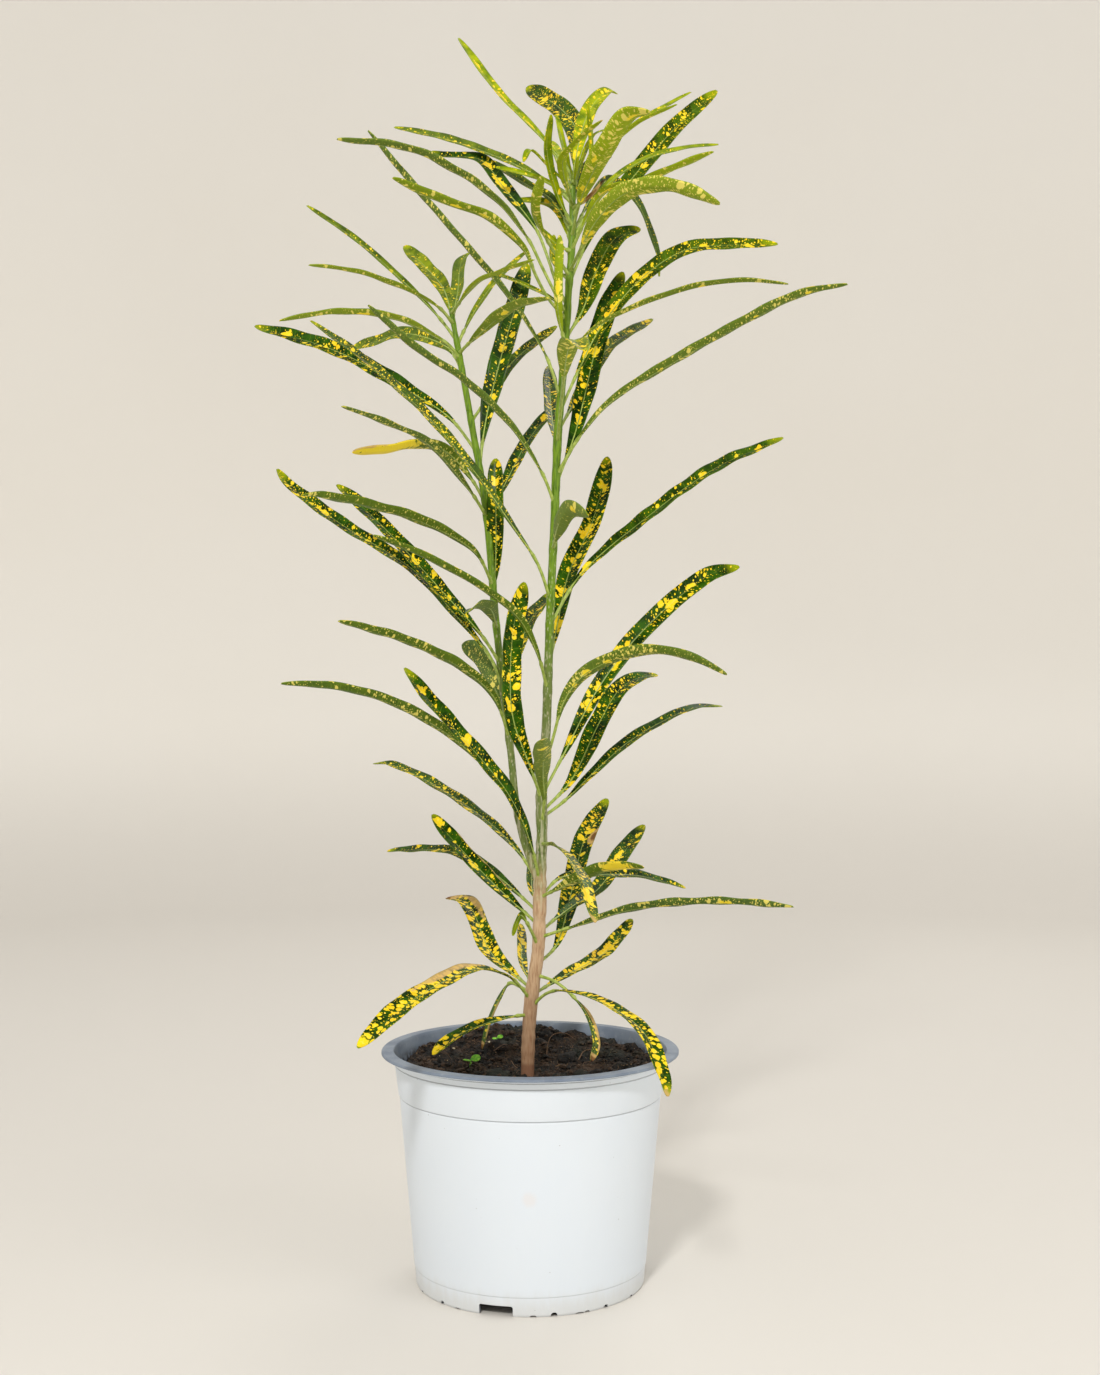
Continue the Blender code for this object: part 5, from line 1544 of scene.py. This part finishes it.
def pot_white_finish():
    """Matt white plastic, a touch blue, faintly clouded, with a few specks of dirt."""
    finish, paint = new_finish("pot_white_plastic", Specular_IOR_Level=0.35)
    spot = paint.here()
    x, y, z = spot.parts()
    cloud = paint.grain(spot, 0.045, 3.0)
    fine = paint.grain(paint.point(x, y, z * 0.2), 0.004, 3.0)
    skin = paint.mix(PLASTIC_WHITE, PLASTIC_BLUE, cloud * 0.3 + fine * 0.1)
    # Painted shade: thin dark lines under the lip, below the ridge, on the step and in the line
    # near the foot, where these ledges cast shadows.
    for height, width, much in POT_SHADE_LINES:
        line = 1 - (z + (fine - 0.5) * 0.0004 - height).size().rise(width * 0.4, width)
        skin = paint.mix(skin, PLASTIC_LINE_SHADE, line * much)
    low = 1 - (z + (fine - 0.5) * 0.01).rise(0.002, 0.016)
    skin = paint.mix(skin, shade(190, 184, 170), low * 0.35)
    speck = 1 - paint.cells(spot, 0.0062, out="Distance").rise(0.03, 0.06)
    dirty = speck * paint.grain(spot, 0.02, 1.0).rise(0.52, 0.6)
    skin = paint.mix(skin, shade(128, 124, 120), dirty * 0.6)
    away = paint.vectors("DISTANCE", spot, PLASTIC_SMEAR_SPOT).other("Value")
    smear = 1 - (away + (fine - 0.5) * 0.006).rise(0.001, 0.005)
    skin = paint.mix(skin, shade(232, 210, 196), smear * 0.2)
    bumps = relief(paint, fine * 0.5 + cloud, 0.0003, 0.35)
    return lay(finish, Base_Color=skin, Roughness=fine * 0.12 + 0.42, Normal=bumps)


def pot_slate_finish():
    """The slate-blue plastic of the rim and of the inside."""
    finish, paint = new_finish("pot_slate_plastic", Specular_IOR_Level=0.4)
    spot = paint.here()
    cloud = paint.grain(spot, 0.02, 3.0)
    fine = paint.grain(spot, 0.0012, 2.0)
    skin = paint.mix(PLASTIC_SLATE, PLASTIC_SLATE_DARK, cloud.rise(0.35, 0.75))
    splashed = 1 - (spot.part(2) + (cloud - 0.5) * 0.004).rise(SOIL_LINE, SOIL_LINE + 0.006)
    soiled = splashed * paint.grain(spot, 0.0025, 3.0).rise(0.3, 0.6)
    skin = paint.mix(skin, shade(62, 56, 54), soiled * 0.8)
    dust = paint.grain(spot, 0.003, 3.0).rise(0.56, 0.8)
    skin = paint.mix(skin, shade(176, 180, 184), dust * 0.35)
    bumps = relief(paint, fine + cloud, 0.0002, 0.4)
    return lay(finish, Base_Color=skin, Roughness=cloud * 0.2 + 0.38, Normal=bumps)


def make_pot():
    """The two-coloured nursery pot, with its rim, lines, notched foot and drain holes."""
    pot = spun("nursery_pot", pot_profile(), POT_TURNS)
    cutters = [notch(FOOT_WIDE_NOTCH, degrees, 0.0012) for degrees in FOOT_WIDE_NOTCH_ANGLES]
    for degrees, wide, high in FOOT_NICKS:
        cutters.append(notch((wide * MM, high * MM), degrees, 0.4 * wide * MM))
    for i in range(DRAIN_HOLES):
        angle = math.tau * (i + 0.5) / DRAIN_HOLES
        bpy.ops.mesh.primitive_cylinder_add(
            vertices=24,
            radius=DRAIN_HOLE_RADIUS,
            depth=4 * POT_FLOOR_THICKNESS,
            location=round_the_axis(DRAIN_HOLE_CIRCLE, angle, DRAIN_CUT_HEIGHT),
        )
        hole = bpy.context.object
        pick(hole)
        bpy.ops.object.transform_apply(location=True)
        cutters.append(hole)
    cut(pot, cutters)
    finished(pot, (pot_white_finish(), pot_slate_finish()), ("pot",))
    lip = POT_HEIGHT - POT_LIP_THICKNESS
    # White outside, up to the lip; slate above it and inside.
    for face in pot.data.polygons:
        place = face.center
        outward = place.x * face.normal.x + place.y * face.normal.y > -0.002
        beyond = math.hypot(place.x, place.y) > POT_FOOT_RADIUS - POT_WALL
        face.material_index = 0 if outward and beyond and place.z < lip + 0.0001 else 1
    pot.data.shade_smooth()
    pick(pot)
    bpy.ops.object.shade_smooth_by_angle(angle=FLAT_SHADED_FROM)


SOIL_TURNS = 300
SOIL_FINE_RINGS = 84
SOIL_BLACK = shade(11, 10, 9)
SOIL_BROWN = shade(66, 50, 37)
SOIL_GREENISH = shade(36, 41, 32)
SOIL_TAN = shade(150, 122, 92)


def soil_height(x, y):
    """Height of the soil's top: a shallow dish, raised at the back, with lumps."""
    out = min(1.0, math.hypot(x, y) / SOIL_DISH_RADIUS)
    dish = SOIL_AT_TRUNK + (SOIL_AT_WALL - SOIL_AT_TRUNK) * out ** 1.6
    back = SOIL_BACK_RISE * out * max(0.0, y / SOIL_DISH_RADIUS)
    away = math.dist((x, y), SOIL_MOUND_SPOT) / SOIL_MOUND_RADIUS
    mound = SOIL_MOUND_RISE * bell(away)
    lump = noise.noise(Vector((x, y, 0.7)) / SOIL_LUMP_SPACING) * SOIL_LUMP
    return dish + back + mound + lump * min(1.0, out * 3)


def soil_fine_height(x, y):
    """The same with clods and crumbs, which the CAD solid leaves out."""
    clod = noise.noise(Vector((x, y, 2.0)) / CLOD_SPACING) * CLOD_RISE
    crumb = noise.fractal(Vector((x, y, 4.0)) / CRUMB_SPACING, 0.7, 2.1, 4) * CRUMB_RISE
    return soil_height(x, y) + clod + crumb


def soil_finish():
    """Dark moist potting soil: black to brown, rough, with greenish and tan grains."""
    finish, paint = new_finish("potting_soil", Specular_IOR_Level=0.3)
    spot = paint.here()
    tint = paint.attribute("tint").part(0)
    grain = paint.grain(spot, 0.0013, 3.0)
    cloud = paint.grain(spot, 0.014, 3.0)
    dry = (grain * 1.1 + cloud * 1.2 + tint * 0.5 - 1.08).rise(0.08, 0.6)
    skin = paint.mix(SOIL_BLACK, SOIL_BROWN, dry)
    green = paint.grain(spot, 0.02, 1.0).rise(0.55, 0.7)
    skin = paint.mix(skin, SOIL_GREENISH, green * 0.6)
    flake = 1 - paint.cells(spot, 0.0024, out="Distance").rise(0.12, 0.24)
    skin = paint.mix(skin, SOIL_TAN, flake * grain.rise(0.5, 0.62) * 0.7)
    bumps = relief(paint, grain + flake * 0.4, 0.0009)
    return lay(finish, Base_Color=skin, Roughness=grain * 0.3 + 0.62, Normal=bumps)


def fibre_finish():
    finish, paint = new_finish("dry_rootlets")
    tint = paint.attribute("tint").part(0)
    grain = paint.grain(paint.here(), 0.0009, 3.0)
    skin = paint.mix(shade(62, 44, 32), shade(150, 116, 84), tint * 0.8 + grain * 0.2)
    bumps = relief(paint, grain, 0.0001, 0.6)
    return lay(finish, Base_Color=skin, Roughness=grain * 0.2 + 0.6, Normal=bumps)


def tinted(mesh, value):
    """Writes how light a lump or fibre is, which its finish reads, on each point."""
    layer = mesh.attributes.new("tint", "FLOAT_VECTOR", "POINT")
    layer.data.foreach_set("vector", [value, 0.0, 0.0] * len(mesh.vertices))


def spot_on_soil(luck, most=SOIL_DISH_RADIUS, least=0.0065):
    """A random place on the soil, clear of the trunk."""
    reach = math.sqrt(luck.uniform((least / most) ** 2, 1)) * most
    angle = luck.uniform(0, math.tau)
    return reach * math.cos(angle), reach * math.sin(angle)


def lump_blank(detail):
    """The uneven ball that clods, crumbs and grit are copied from."""
    bpy.ops.mesh.primitive_ico_sphere_add(subdivisions=detail, radius=1)
    blank = bpy.context.object
    blank.name = f"lump_blank_{detail}"
    for vertex in blank.data.vertices:
        vertex.co *= 1 + 0.45 * noise.noise(vertex.co * 1.7 + Vector((detail, 3, 5)))
    return blank


# Larger clods: across, depth and height over the soil, and radius, in mm.
CLODS = (
    (-19, -8, 0.5, 6.5), (-29, -22, 0, 5), (9, -30, 0, 6), (30, -6, 1, 6), (38, -16, 0, 7),
    (-42, 6, 0, 5), (52, 0, 0, 6), (22, 30, 1, 6), (-20, 44, 0, 6), (40, 36, 0, 6),
    (-52, -14, 0, 5.5), (16, -52, 0, 6), (-34, 22, 0, 4.5), (4, 52, 0, 6), (-10, 26, 0, 5),
    (50, -32, 0, 5.5), (-8, -48, 0, 5),
)
CRUMBS = 2200
FIBRES = 80
FLECKS = 26


def strewn(blank, name, place, size, flat, luck, tint):
    """A copy of a lump, turned at random and set into the soil."""
    lump = copy_of(blank, name)
    turn = Euler([luck.uniform(0, math.tau) for _ in range(3)]).to_matrix().to_4x4()
    spin = Matrix.Rotation(luck.uniform(0, math.tau), 4, "Z")
    stretch = Matrix.Diagonal((size * luck.uniform(0.8, 1.5), size, size * flat, 1))
    lump.data.transform(Matrix.Translation(place) @ spin @ stretch @ turn)
    tinted(lump.data, tint)
    return lump


def make_soil():
    """The soil's body, its clods and crumbs as one piece."""
    luck = random.Random(11)
    low = POT_FLOOR_UNDERSIDE + POT_FLOOR_THICKNESS + GAP
    low_radius = pot_radius(low) - POT_WALL - GAP
    rim_radius = pot_radius(POT_STEP_HEIGHT) - POT_WALL - GAP
    top = [(rim_radius * i / SOIL_FINE_RINGS, SOIL_AT_WALL) for i in range(SOIL_FINE_RINGS + 1)]
    outer = [(rim_radius, POT_STEP_HEIGHT - 0.001), (low_radius, low)]
    body = spun("soil_body", [*top, *outer, (0, low)], SOIL_TURNS)
    for vertex in body.data.vertices:
        if vertex.co.z > POT_STEP_HEIGHT:
            vertex.co.z = soil_fine_height(vertex.co.x, vertex.co.y)
    tinted(body.data, 0.35)
    lumps = [body]
    rough, plain = lump_blank(3), lump_blank(1)
    for i, clod in enumerate(CLODS):
        x, y, over, radius = (measure * MM for measure in clod)
        place = Vector((x, y, soil_height(x, y) + over - radius * 0.2))
        lumps.append(strewn(rough, f"clod_{i}", place, radius, 0.7, luck, luck.uniform(0, 0.4)))
    for i in range(CRUMBS):
        x, y = spot_on_soil(luck)
        size = 0.0005 + 0.0015 * luck.random() ** 2.6
        place = Vector((x, y, soil_fine_height(x, y) + size * luck.uniform(0.0, 0.5)))
        flat, tint = luck.uniform(0.5, 0.9), luck.random()
        lumps.append(strewn(plain, f"crumb_{i}", place, size, flat, luck, tint))
    cleared(rough, plain)
    for lump in lumps[: 1 + len(CLODS)]:
        lump.data.shade_smooth()
    soil = joined("potting_mix", lumps)
    finished(soil, (soil_finish(),), ("soil",))


def fleck_finish():
    finish, paint = new_finish("pale_grit")
    grain = paint.grain(paint.here(), 0.0008, 3.0)
    skin = paint.mix(shade(206, 192, 160), shade(150, 130, 98), grain.rise(0.4, 0.7))
    return lay(finish, Base_Color=skin, Roughness=grain * 0.2 + 0.6)


# Longer roots that stand out of the soil, as points across, up and behind, in mm.
ROOT_RADIUS = 0.00034
ROOT_STEPS = 24
ROOTS = (
    (
        (9, 116, 33), (9.4, 122, 35), (10.1, 127, 38), (12, 130.5, 41),
        (15, 132, 43), (21, 131.5, 45), (27, 127, 47),
    ),
    ((10.1, 127, 38), (8.5, 127.6, 37), (6.5, 127.2, 36)),
    ((28, 120, 24), (31, 124.5, 26), (35, 125.5, 27), (41, 124, 27)),
    ((-22, 124, 30), (-16, 127, 34), (-10, 125, 37)),
)


def make_rootlets():
    """Dry fibres lying in the soil, a few longer roots that arch out of it, and pale grit."""
    luck = random.Random(23)
    blank = tube_blank("fibre_blank", 4, 6)
    pieces = []
    for i in range(FIBRES):
        x, y = spot_on_soil(luck)
        length, thick = luck.uniform(0.003, 0.010), luck.uniform(0.00009, 0.0002)
        heading, bend = luck.uniform(0, math.tau), luck.uniform(-0.35, 0.35)
        fibre = copy_of(blank, f"fibre_{i}")
        rise = luck.uniform(0.0, 0.0016)
        for vertex in fibre.data.vertices:
            share = vertex.co.x
            arch = math.sin(math.pi * share)
            sway = bend * length * arch
            run = (share - 0.5) * length
            spot_x = x + run * math.cos(heading) - sway * math.sin(heading)
            spot_y = y + run * math.sin(heading) + sway * math.cos(heading)
            ground = soil_fine_height(spot_x, spot_y) + thick * 0.6 + rise * arch
            vertex.co = (spot_x + vertex.co.y * thick, spot_y, ground + vertex.co.z * thick)
        tinted(fibre.data, luck.random())
        pieces.append(fibre)
    cleared(blank)
    for i, root in enumerate(ROOTS):
        course = smooth_course([Vector((x, y, z)) * MM for x, z, y in root], ROOT_STEPS + 1)
        length = run_length(course)
        tube = tube_blank(f"root_{i}", 6, ROOT_STEPS)
        for vertex in tube.data.vertices:
            share = vertex.co.x
            thick = ROOT_RADIUS * (1 - 0.6 * share)
            vertex.co = (share * length, vertex.co.y * thick, vertex.co.z * thick)
        tinted(tube.data, luck.uniform(0.1, 0.5))
        pieces.append(bent_along(tube, course, None))
    rootlets = joined("rootlets", pieces)
    finished(rootlets, (fibre_finish(),))
    blank = lump_blank(1)
    flecks = []
    for i in range(FLECKS):
        x, y = spot_on_soil(luck)
        size = luck.uniform(0.0003, 0.0009)
        place = Vector((x, y, soil_fine_height(x, y) + size * 0.5))
        flecks.append(strewn(blank, f"fleck_{i}", place, size, 0.7, luck, 0.5))
    cleared(blank)
    finished(joined("pale_grit", flecks), (fleck_finish(),))


def seedling_finish():
    finish, paint = new_finish("seedling_green", Coat_Weight=0.15)
    grain = paint.grain(paint.here(), 0.0015, 2.0)
    skin = paint.mix(shade(92, 176, 22), shade(150, 214, 60), grain.rise(0.3, 0.7))
    bumps = relief(paint, grain, 0.0001, 0.5)
    return lay(finish, Base_Color=skin, Roughness=grain * 0.2 + 0.35, Normal=bumps)


# Seedlings: where each stands, its height, and its leaves as length, width, heading and roll.
SPROUT_RADIUS = 0.00042
SPROUT_LEAN = 0.0012
SPROUT_DEPTH = 0.006
SEEDLINGS = (
    (
        SEEDLING_SPOT, 0.0062,
        ((0.0056, 0.0042, 8, 58), (0.0050, 0.0018, 186, -20), (0.0026, 0.0012, 262, 0)),
    ),
    (
        (-0.0215, 0.0490), 0.0034,
        ((0.0038, 0.0026, 20, 50), (0.0034, 0.0020, 165, -30), (0.0026, 0.0014, 280, 0)),
    ),
)


def make_seedlings():
    """Self-sown seedlings: thin bent stems with small oval leaves."""
    blank = tube_blank("sprout_blank", 8, 10)
    pieces = []
    for i, (spot, height, leaves) in enumerate(SEEDLINGS):
        ground = soil_fine_height(*spot)
        stem = copy_of(blank, f"sprout_{i}")
        for vertex in stem.data.vertices:
            share = vertex.co.x
            thick = SPROUT_RADIUS * (1 - 0.3 * share)
            lean = SPROUT_LEAN * share ** 2
            vertex.co = (
                spot[0] + vertex.co.y * thick + lean,
                spot[1] + vertex.co.z * thick,
                ground - SPROUT_DEPTH + (height + SPROUT_DEPTH) * share,
            )
        pieces.append(stem)
        for k, (length, width, degrees, roll) in enumerate(leaves):
            bpy.ops.mesh.primitive_uv_sphere_add(segments=20, ring_count=10, radius=0.5)
            blade = bpy.context.object
            blade.name = f"sprout_{i}_leaf_{k}"
            for vertex in blade.data.vertices:
                x, y, z = vertex.co
                cup = 0.10 * (x * x + y * y) * length - 0.0003 * bell(y / 0.12)
                vertex.co = ((x + 0.47) * length, y * width, z * 0.0006 + cup)
            turn = Euler([math.radians(angle) for angle in (roll, -10, degrees)]).to_matrix()
            top = Vector((spot[0] + SPROUT_LEAN, spot[1], ground + height - 0.0004 - 0.0011 * k))
            blade.data.transform(Matrix.Translation(top) @ turn.to_4x4())
            pieces.append(blade)
    cleared(blank)
    for piece in pieces:
        piece.data.shade_smooth()
    finished(joined("seedlings", pieces), (seedling_finish(),), ("seedling",))


# Heights of the scars of fallen leaves, and how far each stem piece reaches into the one below
# it, in mm.
TRUNK_SCARS = [131, 138, 146, 184, 211, 235]
STEM_OVERLAP = 0.8
LEAVES = {
    "trunk": TRUNK_LEAVES,
    "main_stem": MAIN_STEM_LEAVES,
    "main_crown": MAIN_CROWN_LEAVES,
    "side_stem": SIDE_STEM_LEAVES,
    "side_crown": SIDE_CROWN_LEAVES,
}


def make_plant():
    """Stems over a trunk, and every leaf on its stem."""
    skin = stem_finish()
    blanks = {"blade": blade_blank(), "rib": tube_blank("rib_blank", 8, 40)}
    finishes = (leaf_top_finish(), leaf_under_finish(), rib_finish())
    knots = {}
    for node, leaves in LEAVES.items():
        grow_leaves(node, leaves, blanks, finishes)
        knots[node] = [leaf.root for leaf in leaves]
    cleared(*blanks.values())
    scarred = knots["trunk"] + TRUNK_SCARS
    trunk = stem_piece("trunk_bark", AXIS_STEM, AXIS_STEM[0].up, FORK_TOP, scarred, skin)
    fork = stem_piece("fork", SIDE_STEM, SIDE_STEM[0].up, FORK_TOP, [], skin)
    finished(joined("trunk_bark", [trunk, fork]), replaced=("trunk",))
    for name, node, low, high in (
        ("main_stem_skin", "main_stem", FORK_TOP - STEM_OVERLAP, MAIN_CROWN_BASE),
        ("main_crown_stem", "main_crown", MAIN_CROWN_BASE - STEM_OVERLAP, AXIS_STEM[-1].up),
        ("side_stem_skin", "side_stem", FORK_TOP - STEM_OVERLAP, SIDE_CROWN_BASE),
        ("side_crown_stem", "side_crown", SIDE_CROWN_BASE - STEM_OVERLAP, SIDE_STEM[-1].up),
    ):
        stem = stem_piece(name, stem_of(node), low, high, knots[node], skin)
        finished(stem, replaced=(node,))


# The studio's cove, in metres: its radius, the radius of its bend and its height.
STUDIO_RADIUS = 2.4
STUDIO_BEND = 0.7
STUDIO_HEIGHT = 2.7


def make_studio():
    """A round pale cove, so that every side of the plant is seen against a plain background."""
    finish, paint = new_finish("studio_cream", Roughness=0.9)
    spot = paint.here()
    cloud = paint.grain(spot, 0.5)
    wall = paint.mix(shade(240, 236, 228), shade(243, 240, 234), cloud)
    skin = paint.mix(shade(220, 216, 209), wall, spot.part(2).rise(0.0, 0.3))
    lay(finish, Base_Color=skin)
    bend = [
        (STUDIO_RADIUS - STUDIO_BEND * (1 - math.sin(a)), STUDIO_BEND * (1 - math.cos(a)))
        for a in (math.pi / 2 * i / 16 for i in range(17))
    ]
    cove = spun("studio_cove", [(0, 0), *bend, (STUDIO_RADIUS, STUDIO_HEIGHT)], 96)
    cove.data.materials.append(finish)
    cove.data.shade_smooth()
    edit_all(cove)
    bpy.ops.mesh.normals_make_consistent(inside=True)
    bpy.ops.object.mode_set(mode="OBJECT")


def soft_light(name, place, aim, side, power, colour):
    """A square lamp, unseen by the camera."""
    data = bpy.data.lights.new(name, "AREA")
    data.shape = "SQUARE"
    data.size = side
    data.energy = power
    data.color = colour
    light = placed(name, data)
    light.location = place
    light.rotation_euler = (Vector(aim) - Vector(place)).to_track_quat("-Z", "Y").to_euler()
    light.visible_camera = False


def make_light():
    middle = (0, 0, 0.36)
    soft_light("key", (-0.36, -1.70, 1.52), middle, 0.24, 24.5, (1.0, 0.985, 0.965))
    soft_light("fill", (1.3, -0.9, 0.8), middle, 0.9, 4.6, (1.0, 0.99, 0.97))
    soft_light("back", (0.6, 1.4, 1.5), middle, 0.9, 6, (1.0, 0.98, 0.95))
    world = bpy.data.worlds.new("studio_air")
    world.use_nodes = True
    air = world.node_tree.nodes["Background"]
    air.inputs["Color"].default_value = (0.98, 0.985, 1.0, 1)
    air.inputs["Strength"].default_value = 0.72
    bpy.context.scene.world = world


def make_camera():
    data = bpy.data.cameras.new("photograph")
    data.sensor_width = SENSOR
    data.lens = LENS
    camera = placed("photograph", data)
    camera.location = EYE
    camera.rotation_euler = (math.pi / 2, 0, 0)
    bpy.context.scene.camera = camera
    bpy.context.scene.view_settings.view_transform = "Standard"


make_camera()
make_studio()
make_light()
make_pot()
make_soil()
make_rootlets()
make_seedlings()
make_plant()
